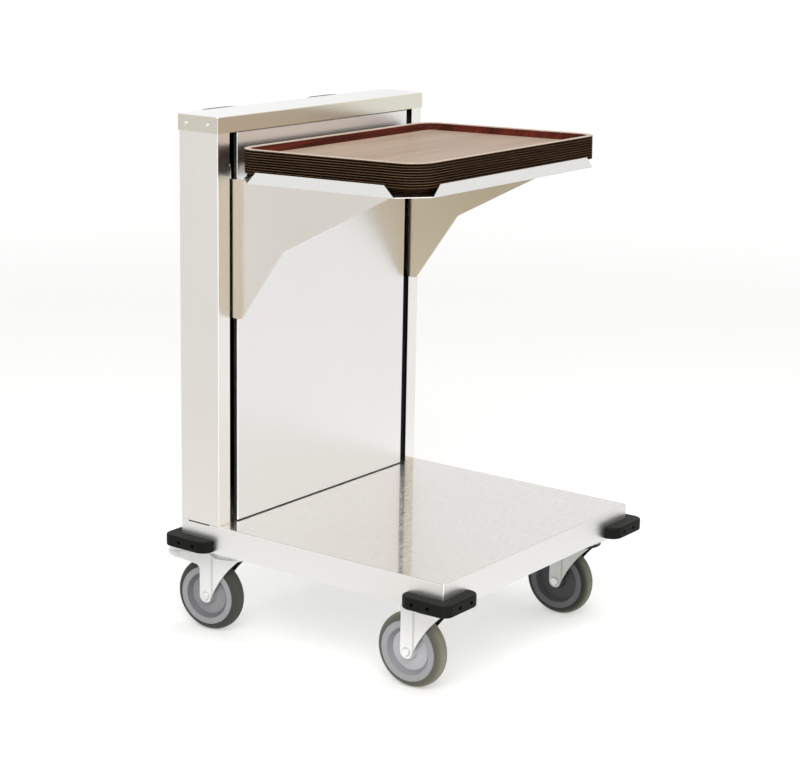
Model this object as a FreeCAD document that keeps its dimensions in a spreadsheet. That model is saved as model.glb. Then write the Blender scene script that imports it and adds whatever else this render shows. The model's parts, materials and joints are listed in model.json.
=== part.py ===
import FreeCAD, Part
import math
import os
import Sketcher

# Tray dispenser on castors: a spring-carried platform on a column keeps a stack of trays at hand height.
# Frame: +Z up from the floor, the column at the back (+Y), the trays' open side at the front (-Y).
# The origin is on the floor, under the middle of the whole trolley.

doc = FreeCAD.newDocument("tray_dispenser")
dims = doc.addObject("Spreadsheet::Sheet", "dims")

ADD = "Additive"
CUT = "Subtractive"
LEFT = -1
RIGHT = 1
SIDES = (("left", LEFT), ("right", RIGHT))
OVERSHOOT = 1.0
TURN_TO_AXIS = {
    "X": FreeCAD.Rotation(FreeCAD.Vector(0, 1, 0), 90),
    "Y": FreeCAD.Rotation(FreeCAD.Vector(1, 0, 0), -90),
    "Z": FreeCAD.Rotation(),
}


class Size:
    """A length that keeps both its number and the formula that gives it."""

    def __init__(self, formula, number):
        self.formula = formula
        self.number = number

    def joined(self, sign, other, number):
        return Size("(" + self.formula + sign + other.formula + ")", number)

    def __add__(self, other):
        other = as_size(other)
        return self.joined(" + ", other, self.number + other.number)

    def __sub__(self, other):
        other = as_size(other)
        return self.joined(" - ", other, self.number - other.number)

    def __mul__(self, other):
        other = as_size(other)
        return self.joined(" * ", other, self.number * other.number)

    def __truediv__(self, other):
        other = as_size(other)
        return self.joined(" / ", other, self.number / other.number)

    def __radd__(self, other):
        return as_size(other) + self

    def __rsub__(self, other):
        return as_size(other) - self

    def __rmul__(self, other):
        return as_size(other) * self

    def __neg__(self):
        return as_size(0) - self


def as_size(amount):
    if isinstance(amount, Size):
        return amount
    return Size("(" + str(amount) + ")", float(amount))


size_names = []


def size(name, number):
    """One driving dimension, kept in its own named cell."""
    size_names.append(name)
    row = str(len(size_names))
    dims.set("A" + row, name)
    dims.set("B" + row, str(number))
    dims.setAlias("B" + row, name)
    return Size("dims." + name, number)


def of_angle(function_name, angle, number):
    """The sine, cosine or tangent of a driving angle in degrees."""
    return Size(function_name + "(" + angle.formula + " * 1 deg)", number)


def bind(item, setting, amount):
    item.setExpression(setting, as_size(amount).formula)


def bind_point(item, setting, point):
    for axis, amount in zip("xyz", point):
        bind(item, setting + "." + axis, amount)


def span(one, other):
    """Two values in rising order."""
    one = as_size(one)
    other = as_size(other)
    if one.number < other.number:
        return (one, other)
    return (other, one)


pieces = []


def loose_body(label, place=(0, 0, 0)):
    body = doc.addObject("PartDesign::Body", label)
    body.Label = label
    bind_point(body, "Placement.Base", place)
    return body


def piece(label, place=(0, 0, 0)):
    """One physical piece of the trolley, with its own name and place."""
    body = loose_body(label, place)
    pieces.append(body)
    return body


def piece_group(label, members):
    """Identical small pieces that share one name, each still its own solid."""
    group = doc.addObject("Part::Compound", label)
    group.Label = label
    group.Links = members
    pieces.append(group)
    return group


def block(body, action, x_span, y_span, z_span):
    """A rectangular block added to a piece or cut out of it."""
    feature = body.newObject("PartDesign::" + action + "Box", "Block")
    bind(feature, "Length", x_span[1] - x_span[0])
    bind(feature, "Width", y_span[1] - y_span[0])
    bind(feature, "Height", z_span[1] - z_span[0])
    bind_point(feature, "Placement.Base", (x_span[0], y_span[0], z_span[0]))
    return feature


def rod(body, action, axis, radius, start, length):
    """A round rod added to a piece, or a round hole cut in it, running from start along an axis."""
    feature = body.newObject("PartDesign::" + action + "Cylinder", "Rod")
    feature.Placement = FreeCAD.Placement(FreeCAD.Vector(), TURN_TO_AXIS[axis])
    bind(feature, "Radius", radius)
    bind(feature, "Height", length)
    bind_point(feature, "Placement.Base", start)
    return feature


def hexagon(body, axis, corner_radius, start, length):
    feature = body.newObject("PartDesign::AdditivePrism", "Hexagon")
    feature.Polygon = 6
    feature.Placement = FreeCAD.Placement(FreeCAD.Vector(), TURN_TO_AXIS[axis])
    bind(feature, "Circumradius", corner_radius)
    bind(feature, "Height", length)
    bind_point(feature, "Placement.Base", start)
    return feature


def origin_plane(body, role):
    return [item for item in body.Origin.OriginFeatures if item.Role == role][0]


def arc_through(start, end, radius, centre_side):
    """An arc between two points, its centre to the left (1) or right (-1) of the way from start to end."""
    half_chord = (end - start) * 0.5
    middle = start + half_chord
    left = FreeCAD.Vector(-half_chord.y, half_chord.x, 0).normalize()
    depth = math.sqrt(radius ** 2 - half_chord.Length ** 2)
    centre = middle + left * (centre_side * depth)
    return Part.Arc(start, centre - left * (centre_side * radius), end)


def outline(body, plane, height, corners):
    """A closed outline: corners (across, up), or (across, up, radius, side) where an arc starts."""
    sketch = body.newObject("Sketcher::SketchObject", "Outline")
    sketch.AttachmentSupport = [(origin_plane(body, plane), "")]
    sketch.MapMode = "FlatFace"
    bind(sketch, "AttachmentOffset.Base.z", height)
    points = [FreeCAD.Vector(as_size(c[0]).number, as_size(c[1]).number, 0) for c in corners]
    first_ends = []
    last_ends = []
    for index, corner in enumerate(corners):
        start = points[index]
        end = points[(index + 1) % len(points)]
        if len(corner) == 2:
            sketch.addGeometry(Part.LineSegment(start, end))
            first_ends.append(1)
            last_ends.append(2)
            continue
        radius = as_size(corner[2])
        sketch.addGeometry(arc_through(start, end, radius.number, corner[3]))
        first_ends.append(1 if corner[3] > 0 else 2)
        last_ends.append(2 if corner[3] > 0 else 1)
        added = sketch.addConstraint(Sketcher.Constraint("Radius", index, radius.number))
        bind(sketch, "Constraints[" + str(added) + "]", radius)
    for index, corner in enumerate(corners):
        following = (index + 1) % len(corners)
        sketch.addConstraint(
            Sketcher.Constraint("Coincident", index, last_ends[index], following, first_ends[following]))
        place_corner(sketch, index, first_ends[index], "DistanceX", as_size(corner[0]), -2)
        place_corner(sketch, index, first_ends[index], "DistanceY", as_size(corner[1]), -1)
    return sketch


def place_corner(sketch, edge, end, kind, amount, zero_axis):
    """Hold one corner of an outline at its distance from the sketch's origin."""
    if amount.number == 0:
        sketch.addConstraint(Sketcher.Constraint("PointOnObject", edge, end, zero_axis))
        return
    added = sketch.addConstraint(Sketcher.Constraint(kind, -1, 1, edge, end, amount.number))
    bind(sketch, "Constraints[" + str(added) + "]", amount)


def rounded_rectangle(body, height, half_x, half_y, radius):
    return outline(body, "XY_Plane", height, [
        (half_x, radius - half_y), (half_x, half_y - radius, radius, 1),
        (half_x - radius, half_y), (radius - half_x, half_y, radius, 1),
        (-half_x, half_y - radius), (-half_x, radius - half_y, radius, 1),
        (radius - half_x, -half_y), (half_x - radius, -half_y, radius, 1),
    ])


def pad(body, sketch, length, flare=0):
    feature = body.newObject("PartDesign::Pad", "Pad")
    feature.Profile = sketch
    bind(feature, "Length", length)
    bind(feature, "TaperAngle", flare)
    return feature


def turned(body, sketch):
    """A round piece turned about the outline's own across axis."""
    feature = body.newObject("PartDesign::Revolution", "Turned")
    feature.Profile = sketch
    feature.ReferenceAxis = (sketch, ["H_Axis"])
    feature.Angle = 360
    return feature


def round_edges(body, radius, wanted):
    """Round every edge of the piece so far that the test picks out."""
    doc.recompute()
    base = body.Tip
    names = ["Edge" + str(n + 1) for n, edge in enumerate(base.Shape.Edges) if wanted(edge)]
    feature = body.newObject("PartDesign::Fillet", "Rounding")
    feature.Base = (base, names)
    bind(feature, "Radius", radius)
    return feature


def near(one, other):
    return abs(one - other) < 0.001


def is_upright(edge):
    box = edge.BoundBox
    return near(box.XLength, 0) and near(box.YLength, 0)


def is_level_at(edge, height):
    box = edge.BoundBox
    return near(box.ZLength, 0) and near(box.ZMin, height.number)


def is_upright_at(edge, places):
    box = edge.BoundBox
    return is_upright(edge) and any(near(box.XMin, x.number) and near(box.YMin, y.number) for x, y in places)


# Main sizes: base, column and sheet metal
base_width = size("base_width", 550)
base_depth = size("base_depth", 536.5)
deck_top = size("deck_top", 204)
skirt_height = size("skirt_height", 48)
skirt_hem = size("skirt_hem", 10)
sheet_metal = size("sheet_metal", 1.5)
bend_radius = size("bend_radius", 2.2)
post_front = size("post_front", 169.7)
column_depth = size("column_depth", 82)
column_height = size("column_height", 676)
base_half = base_width / 2
base_back = post_front + column_depth
base_front = base_back - base_depth
skirt_bottom = deck_top - skirt_height
column_top = deck_top + column_height

# Corner bumpers: where they sit on the skirt, and their screws
bumper_reach = size("bumper_reach", 23)
bumper_leg = size("bumper_leg", 71)
bumper_height = size("bumper_height", 20)
bumper_drop = size("bumper_drop", 26)
bumper_corner = size("bumper_corner", 18)
bumper_end = size("bumper_end", 20)
bumper_edge = size("bumper_edge", 2.5)
bumper_recess = size("bumper_recess", 16)
recess_radius = size("recess_radius", 3.4)
screw_radius = size("screw_radius", 2)
screw_head_radius = size("screw_head_radius", 3.2)
screw_head_height = size("screw_head_height", 2.4)
screw_tail = size("screw_tail", 8)
screw_clearance = size("screw_clearance", 0.2)
screw_near = size("screw_near", 13.5)
screw_far = size("screw_far", 44)
bumper_top = deck_top - bumper_drop
bumper_bottom = bumper_top - bumper_height
screw_height = bumper_top - bumper_height / 2
bumper_seat = bumper_reach - bumper_recess
CORNERS = [
    (end_name + "_" + side_name, side, toward, corner_y)
    for end_name, toward, corner_y in (("front", -1, base_front), ("rear", 1, base_back))
    for side_name, side in SIDES
]


def hole_along(body, action, axis, radius, across, up, reach):
    """A level rod or hole along X or Y, at a place across and up, between two values of reach."""
    low, high = span(reach[0], reach[1])
    start = (low, across, up) if axis == "X" else (across, low, up)
    return rod(body, action, axis, radius, start, high - low)


def bumper_screw_places(side, toward, corner_y):
    """For each screw of one bumper: its axis, place across, skirt face and outward way."""
    places = []
    for distance in (screw_near, screw_far):
        places.append(("Y", side * (base_half - distance), corner_y, toward))
        places.append(("X", corner_y - toward * distance, side * base_half, side))
    return places


# Base deck: one sheet folded down into a skirt on all four sides, with a hem turned in at the bottom
deck = piece("base_deck")
block(deck, ADD, (-base_half, base_half), (base_front, base_back), (skirt_bottom, deck_top))
round_edges(deck, bend_radius, lambda edge: is_upright(edge) or is_level_at(edge, deck_top))
inner_half = base_half - sheet_metal
block(deck, CUT, (-inner_half, inner_half), (base_front + sheet_metal, base_back - sheet_metal),
      (skirt_bottom + sheet_metal, deck_top - sheet_metal))
hem_half = inner_half - skirt_hem
block(deck, CUT, (-hem_half, hem_half),
      (base_front + sheet_metal + skirt_hem, base_back - sheet_metal - skirt_hem),
      (skirt_bottom - OVERSHOOT, skirt_bottom + sheet_metal))
for corner_name, side, toward, corner_y in CORNERS:
    for axis, across, face, way in bumper_screw_places(side, toward, corner_y):
        hole_along(deck, CUT, axis, screw_radius + screw_clearance, across, screw_height,
                   (face - way * (sheet_metal + OVERSHOOT), face + way * OVERSHOOT))

# Corner bumpers: rubber angles screwed to the skirt, their screws sunk in round recesses
bumper_screws = []
for corner_name, side, toward, corner_y in CORNERS:
    bumper = piece("bumper_" + corner_name)
    outer_x = side * (base_half + bumper_reach)
    outer_y = corner_y + toward * bumper_reach
    end_x = side * (base_half - bumper_leg)
    end_y = corner_y - toward * bumper_leg
    block(bumper, ADD, span(end_x, outer_x), span(corner_y, outer_y), (bumper_bottom, bumper_top))
    block(bumper, ADD, span(side * base_half, outer_x), span(end_y, outer_y), (bumper_bottom, bumper_top))
    round_edges(bumper, bumper_corner, lambda edge: is_upright_at(edge, [(outer_x, outer_y)]))
    round_edges(bumper, bumper_end,
                lambda edge: is_upright_at(edge, [(end_x, outer_y), (outer_x, end_y)]))

    def is_outer_rim(edge):
        middle = edge.CenterOfMass
        on_skirt = near(middle.x, side * base_half.number) or near(middle.y, corner_y.number)
        return near(edge.BoundBox.ZLength, 0) and not on_skirt

    round_edges(bumper, bumper_edge, is_outer_rim)
    for axis, across, face, way in bumper_screw_places(side, toward, corner_y):
        seat = face + way * bumper_seat
        hole_along(bumper, CUT, axis, recess_radius, across, screw_height,
                   (seat, face + way * (bumper_reach + OVERSHOOT)))
        hole_along(bumper, CUT, axis, screw_radius + screw_clearance, across, screw_height,
                   (face - way * OVERSHOOT, seat + way * OVERSHOOT))
        screw = loose_body("bumper_screw")
        hole_along(screw, ADD, axis, screw_head_radius, across, screw_height,
                   (seat, seat + way * screw_head_height))
        hole_along(screw, ADD, axis, screw_radius, across, screw_height, (face - way * screw_tail, seat))
        bumper_screws.append(screw)
piece_group("bumper_screws", bumper_screws)

# Castor sizes: swivel castors with trailing forks, heights measured from the floor
castor_height = size("castor_height", 155)
castor_across = size("castor_across", 220)
front_inset = size("front_inset", 55)
rear_inset = size("rear_inset", 61)
castor_trail = size("castor_trail", 39)
plate_width = size("plate_width", 80)
plate_length = size("plate_length", 100)
plate_thickness = size("plate_thickness", 4)
plate_corner = size("plate_corner", 6)
bolt_across = size("bolt_across", 29)
bolt_along = size("bolt_along", 34)
bolt_radius = size("bolt_radius", 4)
bolt_clearance = size("bolt_clearance", 0.2)
bolt_hex = size("bolt_hex", 7.4)
bolt_head_height = size("bolt_head_height", 5.3)
nut_height = size("nut_height", 6.5)
bolt_tail = size("bolt_tail", 3)
race_radius = size("race_radius", 28)
race_height = size("race_height", 6)
race_gap = size("race_gap", 0.3)
kingpin_radius = size("kingpin_radius", 6)
running_fit = size("running_fit", 0.05)
rail_width = size("rail_width", 80)
rail_metal = size("rail_metal", 2.5)
rail_gap = size("rail_gap", 1)
plate_bottom = castor_height - plate_thickness
CASTORS = [
    (end_name + "_" + side_name, end_name, side, castor_y)
    for end_name, castor_y in (("front", base_front + front_inset), ("rear", base_back - rear_inset))
    for side_name, side in SIDES
]
BOLT_PLACES = [(x * bolt_across, y * bolt_along) for x in (-1, 1) for y in (-1, 1)]

# Castor channels: two channels welded under the deck, one along each side, that carry the castor plates
for side_name, side in SIDES:
    channel = piece("castor_channel_" + side_name)
    middle_x = side * castor_across
    channel_start = base_front + sheet_metal + skirt_hem + rail_gap
    channel_end = base_back - sheet_metal - skirt_hem - rail_gap
    block(channel, ADD, (middle_x - rail_width / 2, middle_x + rail_width / 2),
          (channel_start, channel_end), (castor_height, deck_top - sheet_metal))
    block(channel, CUT, (middle_x - rail_width / 2 + rail_metal, middle_x + rail_width / 2 - rail_metal),
          (channel_start - OVERSHOOT, channel_end + OVERSHOOT), (castor_height + rail_metal, deck_top))
    for castor_name, end_name, castor_side, castor_y in CASTORS:
        if castor_side != side:
            continue
        for bolt_x, bolt_y in BOLT_PLACES:
            rod(channel, CUT, "Z", bolt_radius + bolt_clearance,
                (middle_x + bolt_x, castor_y + bolt_y, castor_height - OVERSHOOT), rail_metal + 2 * OVERSHOOT)

# Castor plates: pressed plates with the upper bearing race, each held by four bolts and nuts
castor_bolts = []
for castor_name, end_name, side, castor_y in CASTORS:
    middle_x = side * castor_across
    plate = piece("castor_plate_" + castor_name, (middle_x, castor_y, 0))
    block(plate, ADD, (-plate_width / 2, plate_width / 2), (-plate_length / 2, plate_length / 2),
          (plate_bottom, castor_height))
    round_edges(plate, plate_corner, is_upright)
    rod(plate, ADD, "Z", race_radius, (0, 0, plate_bottom - race_height), race_height)
    rod(plate, CUT, "Z", kingpin_radius + running_fit, (0, 0, plate_bottom - race_height - OVERSHOOT),
        race_height + plate_thickness + 2 * OVERSHOOT)
    for bolt_x, bolt_y in BOLT_PLACES:
        rod(plate, CUT, "Z", bolt_radius + bolt_clearance, (bolt_x, bolt_y, plate_bottom - OVERSHOOT),
            plate_thickness + 2 * OVERSHOOT)
        bolt_place = (middle_x + bolt_x, castor_y + bolt_y, 0)
        nut_bottom = castor_height + rail_metal
        bolt = loose_body("castor_bolt", bolt_place)
        hexagon(bolt, "Z", bolt_hex, (0, 0, plate_bottom - bolt_head_height), bolt_head_height)
        rod(bolt, ADD, "Z", bolt_radius, (0, 0, plate_bottom),
            nut_bottom + nut_height + bolt_tail - plate_bottom)
        nut = loose_body("castor_nut", bolt_place)
        hexagon(nut, "Z", bolt_hex, (0, 0, nut_bottom), nut_height)
        rod(nut, CUT, "Z", bolt_radius + running_fit, (0, 0, nut_bottom - OVERSHOOT),
            nut_height + 2 * OVERSHOOT)
        castor_bolts += [bolt, nut]
piece_group("castor_bolts", castor_bolts)

# Castor forks: pressed steel, a flat strip down to the axle and a thinner web swept forward to the crown.
# Each castor stands at its own swivel angle, and the rear forks reach back in two arms for the brake.
wheel_radius = size("wheel_radius", 62.5)
swivels = {
    "front_left": size("swivel_front_left", 2),
    "front_right": size("swivel_front_right", 2.5),
    "rear_left": size("swivel_rear_left", 7.5),
    "rear_right": size("swivel_rear_right", 5),
}
fork_half = size("fork_half", 19)
fork_metal = size("fork_metal", 2.5)
fork_strip = size("fork_strip", 11.5)
fork_web_step = size("fork_web_step", 0.8)
fork_web_reach = size("fork_web_reach", 26.5)
fork_web_lip = size("fork_web_lip", 3)
fork_web_sweep = size("fork_web_sweep", 200)
web_meets_eye = size("web_meets_eye", 45)
crown_top = size("crown_top", 138)
crown_thickness = size("crown_thickness", 3)
crown_radius = size("crown_radius", 34)
kingpin_top = size("kingpin_top", 153.5)
axle_radius = size("axle_radius", 4)
fork_hole_clearance = size("fork_hole_clearance", 0.1)
arm_root = size("arm_root", 107)
arm_bend = size("arm_bend", 10)
arm_end = size("arm_end", 112)
arm_end_bottom = size("arm_end_bottom", 124.6)
arm_end_top = size("arm_end_top", 130)
pedal_pivot = size("pedal_pivot", 97.3)
pedal_pivot_height = size("pedal_pivot_height", 126)
pedal_pin_radius = size("pedal_pin_radius", 3)
pedal_pin_head = size("pedal_pin_head", 5)
pedal_pin_cap = size("pedal_pin_cap", 1.6)
eye_angle = math.radians(web_meets_eye.number)
eye_cos = of_angle("cos", web_meets_eye, math.cos(eye_angle))
eye_sin = of_angle("sin", web_meets_eye, math.sin(eye_angle))
strip_back = castor_trail + fork_strip
strip_front = castor_trail - fork_strip
cheek_inside = fork_half - fork_metal


def castor_piece(label, castor, back, height):
    """A piece of one castor: turned to its swivel angle, its origin set back from the swivel axis."""
    castor_name, end_name, side, castor_y = castor
    swivel = swivels[castor_name]
    swivel_angle = math.radians(swivel.number)
    swivel_sin = of_angle("sin", swivel, math.sin(swivel_angle))
    swivel_cos = of_angle("cos", swivel, math.cos(swivel_angle))
    body = piece(label + "_" + castor_name)
    body.Placement = FreeCAD.Placement(
        FreeCAD.Vector(), FreeCAD.Rotation(FreeCAD.Vector(0, 0, 1), swivel.number))
    bind_point(body, "Placement.Base",
               (side * castor_across - swivel_sin * back, castor_y + swivel_cos * back, height))
    body.setExpression("Placement.Rotation.Angle", swivel.formula + " * 1 deg")
    return body


for castor in CASTORS:
    has_brake = castor[1] == "rear"
    fork = castor_piece("castor_fork", castor, 0, 0)
    back_edge = [(strip_back, wheel_radius)]
    if has_brake:
        back_edge += [
            (strip_back, arm_root, arm_bend, -1), (strip_back + arm_bend, arm_root + arm_bend),
            (arm_end, arm_end_bottom), (arm_end, arm_end_top),
        ]
    cheek = outline(fork, "YZ_Plane", -fork_half, back_edge + [
        (strip_back, crown_top), (-fork_web_reach, crown_top),
        (-fork_web_reach, crown_top - fork_web_lip, fork_web_sweep, -1),
        (castor_trail - fork_strip * eye_cos, wheel_radius - fork_strip * eye_sin, fork_strip, 1),
    ])
    pad(fork, cheek, fork_half * 2)
    block(fork, CUT, (-cheek_inside, cheek_inside), (-fork_web_reach - OVERSHOOT, arm_end + OVERSHOOT),
          (0, crown_top - crown_thickness))
    block(fork, CUT, (-cheek_inside, cheek_inside), (strip_back, arm_end + OVERSHOOT),
          (0, crown_top + OVERSHOOT))
    for web_side in (LEFT, RIGHT):
        block(fork, CUT, span(web_side * (fork_half - fork_web_step), web_side * (fork_half + OVERSHOOT)),
              (-fork_web_reach - OVERSHOOT, strip_front), (0, crown_top - crown_thickness))
    rod(fork, ADD, "Z", crown_radius, (0, 0, crown_top - crown_thickness), crown_thickness)
    rod(fork, ADD, "Z", race_radius, (0, 0, crown_top), plate_bottom - race_height - race_gap - crown_top)
    rod(fork, ADD, "Z", kingpin_radius, (0, 0, crown_top), kingpin_top - crown_top)
    rod(fork, CUT, "X", axle_radius + fork_hole_clearance,
        (-fork_half - OVERSHOOT, castor_trail, wheel_radius), (fork_half + OVERSHOOT) * 2)
    if has_brake:
        rod(fork, ADD, "X", pedal_pin_radius, (-fork_half, pedal_pivot, pedal_pivot_height), fork_half * 2)
        for pin_side in (LEFT, RIGHT):
            hole_along(fork, ADD, "X", pedal_pin_head, pedal_pivot, pedal_pivot_height,
                       (pin_side * fork_half, pin_side * (fork_half + pedal_pin_cap)))

# Castor axles: a bolt through fork and wheel with a round head on the left and a hexagon nut on the right
axle_head_radius = size("axle_head_radius", 6.6)
axle_head_height = size("axle_head_height", 4.5)
axle_head_edge = size("axle_head_edge", 1.4)
axle_tail = size("axle_tail", 1.5)
for castor in CASTORS:
    axle = castor_piece("castor_axle", castor, castor_trail, wheel_radius)
    head_face = -(fork_half + axle_head_height)
    hole_along(axle, ADD, "X", axle_head_radius, 0, 0, (head_face, -fork_half))
    round_edges(axle, axle_head_edge, lambda edge: near(edge.BoundBox.XLength, 0)
                and near(edge.BoundBox.XMin, head_face.number))
    hole_along(axle, ADD, "X", axle_radius, 0, 0, (-fork_half, fork_half + nut_height + axle_tail))
    hexagon(axle, "X", bolt_hex, (fork_half, 0, 0), nut_height)

# Wheel centres: plastic, with a flat outer ring, a sloped step in to a thin disc and a hub
wheel_half = size("wheel_half", 15)
hub_half = size("hub_half", 16.2)
hub_radius = size("hub_radius", 13)
hub_foot = size("hub_foot", 16)
disc_half_at_hub = size("disc_half_at_hub", 8)
disc_half_at_rim = size("disc_half_at_rim", 6.5)
disc_radius = size("disc_radius", 34.5)
ring_inner = size("ring_inner", 39.5)
ring_outer = size("ring_outer", 50)
axle_bore = axle_radius + running_fit
half_profile = [
    (hub_half, axle_bore), (hub_half, hub_radius), (disc_half_at_hub, hub_foot),
    (disc_half_at_rim, disc_radius), (wheel_half, ring_inner), (wheel_half, ring_outer),
]
for castor in CASTORS:
    wheel = castor_piece("wheel_centre", castor, castor_trail, wheel_radius)
    mirrored = [(-across, radius) for across, radius in reversed(half_profile)]
    turned(wheel, outline(wheel, "XZ_Plane", 0, half_profile + mirrored))

# Tyres: grey rubber moulded on the wheel centres, with a full round tread
tread_rise = wheel_radius - ring_outer
tread_arc = (wheel_half * wheel_half + tread_rise * tread_rise) / (tread_rise * 2)
for castor in CASTORS:
    tyre = castor_piece("tyre", castor, castor_trail, wheel_radius)
    turned(tyre, outline(tyre, "XZ_Plane", 0, [
        (-wheel_half, ring_outer), (wheel_half, ring_outer, tread_arc, 1),
    ]))

# Brake pedals: a rocker between the arms of each rear fork; its front shoe is pressed down onto the tyre
pedal_half = size("pedal_half", 16.1)
pedal_front = size("pedal_front", 74)
pedal_tip = size("pedal_tip", 116)
pedal_top = size("pedal_top", 134)
pedal_plate = size("pedal_plate", 3)
pedal_lip = size("pedal_lip", 9)
pedal_barrel = size("pedal_barrel", 5.6)
pedal_rib_half = size("pedal_rib_half", 8)
pedal_rib_metal = size("pedal_rib_metal", 8)
shoe_half = size("shoe_half", 12)
shoe_bottom = size("shoe_bottom", 121)
pedal_underside = pedal_top - pedal_plate
for castor in CASTORS:
    if castor[1] != "rear":
        continue
    pedal = castor_piece("brake_pedal", castor, 0, 0)
    block(pedal, ADD, (-pedal_half, pedal_half), (pedal_front, pedal_tip), (pedal_underside, pedal_top))
    block(pedal, ADD, (-pedal_half, pedal_half), (pedal_tip - pedal_plate, pedal_tip),
          (pedal_top - pedal_lip, pedal_top))
    block(pedal, ADD, (-shoe_half, shoe_half), (pedal_front, pedal_front + pedal_plate),
          (shoe_bottom, pedal_top))
    block(pedal, ADD, (-pedal_rib_half, pedal_rib_half),
          (pedal_pivot - pedal_rib_metal / 2, pedal_pivot + pedal_rib_metal / 2), (pedal_pivot_height, pedal_top))
    rod(pedal, ADD, "X", pedal_barrel, (-pedal_half, pedal_pivot, pedal_pivot_height), pedal_half * 2)
    rod(pedal, CUT, "X", pedal_pin_radius + running_fit,
        (-pedal_half - OVERSHOOT, pedal_pivot, pedal_pivot_height), (pedal_half + OVERSHOOT) * 2)

# Column posts: folded channels standing on the deck, open towards each other.
# The edge of each front flange is turned back in a narrow return, so that the slot has no sharp edge.
post_flange = size("post_flange", 29)
post_return = size("post_return", 3.5)
rivet_radius = size("rivet_radius", 1.6)
rivet_clearance = size("rivet_clearance", 0.1)
rivet_drop = size("rivet_drop", 15)
rivet_front = size("rivet_front", 20)
rivet_back = size("rivet_back", 65.5)
cap_height = size("cap_height", 27)
cap_gap = size("cap_gap", 0.1)
cap_outside = base_half + cap_gap + sheet_metal
cap_bottom = column_top - cap_height
rivet_height = column_top - rivet_drop
RIVET_PLACES = [(side, post_front + along) for side in (LEFT, RIGHT) for along in (rivet_front, rivet_back)]
for side_name, side in SIDES:
    post = piece("post_" + side_name)
    block(post, ADD, span(side * (base_half - post_flange), side * base_half), (post_front, base_back),
          (deck_top, column_top - sheet_metal))
    round_edges(post, bend_radius, lambda edge: is_upright_at(
        edge, [(side * base_half, post_front), (side * base_half, base_back)]))
    block(post, CUT, span(side * (base_half - post_flange - OVERSHOOT), side * (base_half - sheet_metal)),
          (post_front + sheet_metal, base_back - sheet_metal), (deck_top - OVERSHOOT, column_top))
    flange_edge = side * (base_half - post_flange)
    block(post, ADD, span(flange_edge, flange_edge + side * sheet_metal),
          (post_front, post_front + post_return), (deck_top, column_top - sheet_metal))
    for rivet_side, rivet_y in RIVET_PLACES:
        if rivet_side == side:
            hole_along(post, CUT, "X", rivet_radius + rivet_clearance, rivet_y, rivet_height,
                       (side * (base_half - sheet_metal - OVERSHOOT), side * (base_half + OVERSHOOT)))

# Cap: a shallow folded lid over the tops of both posts, riveted through its two ends
cap = piece("column_cap")
block(cap, ADD, (-cap_outside, cap_outside),
      (post_front - cap_gap - sheet_metal, base_back + cap_gap + sheet_metal), (cap_bottom, column_top))
round_edges(cap, bend_radius, lambda edge: is_upright(edge) or is_level_at(edge, column_top))
block(cap, CUT, (sheet_metal - cap_outside, cap_outside - sheet_metal),
      (post_front - cap_gap, base_back + cap_gap), (cap_bottom - OVERSHOOT, column_top - sheet_metal))
for rivet_side, rivet_y in RIVET_PLACES:
    hole_along(cap, CUT, "X", rivet_radius + rivet_clearance, rivet_y, rivet_height,
               (rivet_side * base_half, rivet_side * (cap_outside + OVERSHOOT)))

# Cap rivets: low round heads outside, shanks through cap and post
rivet_head_radius = size("rivet_head_radius", 3.2)
rivet_head_height = size("rivet_head_height", 1.3)
rivet_head_edge = size("rivet_head_edge", 1)
rivet_tail = size("rivet_tail", 2)
cap_rivets = []
for rivet_side, rivet_y in RIVET_PLACES:
    rivet = loose_body("cap_rivet")
    head_face = rivet_side * (cap_outside + rivet_head_height)
    hole_along(rivet, ADD, "X", rivet_head_radius, rivet_y, rivet_height, (rivet_side * cap_outside, head_face))
    round_edges(rivet, rivet_head_edge, lambda edge: near(edge.BoundBox.XLength, 0)
                and near(edge.BoundBox.XMin, head_face.number))
    hole_along(rivet, ADD, "X", rivet_radius, rivet_y, rivet_height,
               (rivet_side * (base_half - sheet_metal - rivet_tail), rivet_side * cap_outside))
    cap_rivets.append(rivet)
piece_group("cap_rivets", cap_rivets)

# Front panel: a shallow folded pan between the posts, a little proud of them, with a slot on each side
panel_half = size("panel_half", 229)
panel_proud = size("panel_proud", 2)
panel_fold = size("panel_fold", 8)
panel_lift = size("panel_lift", 2)
panel_top_gap = size("panel_top_gap", 1.5)
panel_front = post_front - panel_proud
panel_top = cap_bottom - panel_top_gap
panel = piece("front_panel")
block(panel, ADD, (-panel_half, panel_half), (panel_front, panel_front + panel_fold),
      (deck_top + panel_lift, panel_top))
round_edges(panel, bend_radius, lambda edge: is_upright_at(
    edge, [(-panel_half, panel_front), (panel_half, panel_front)]))
block(panel, CUT, (sheet_metal - panel_half, panel_half - sheet_metal),
      (panel_front + sheet_metal, panel_front + panel_fold + OVERSHOOT),
      (deck_top + panel_lift + sheet_metal, panel_top - sheet_metal))

# Rear panel: a flat sheet inside the rear flanges of the posts
rear_panel_half = size("rear_panel_half", 268)
rear_panel = piece("rear_panel")
block(rear_panel, ADD, (-rear_panel_half, rear_panel_half),
      (base_back - sheet_metal * 2, base_back - sheet_metal), (deck_top, column_top - sheet_metal))

# Top cross member: a channel between the panel's top fold and the cap
member_half = size("member_half", 228)
member_front = size("member_front", 2)
member_depth = size("member_depth", 40)
top_member = piece("top_cross_member")
block(top_member, ADD, (-member_half, member_half),
      (post_front + member_front, post_front + member_front + member_depth),
      (panel_top, column_top - sheet_metal))
block(top_member, CUT, (-member_half - OVERSHOOT, member_half + OVERSHOOT),
      (post_front + member_front + sheet_metal, post_front + member_front + member_depth - sheet_metal),
      (panel_top + sheet_metal, column_top))

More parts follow.
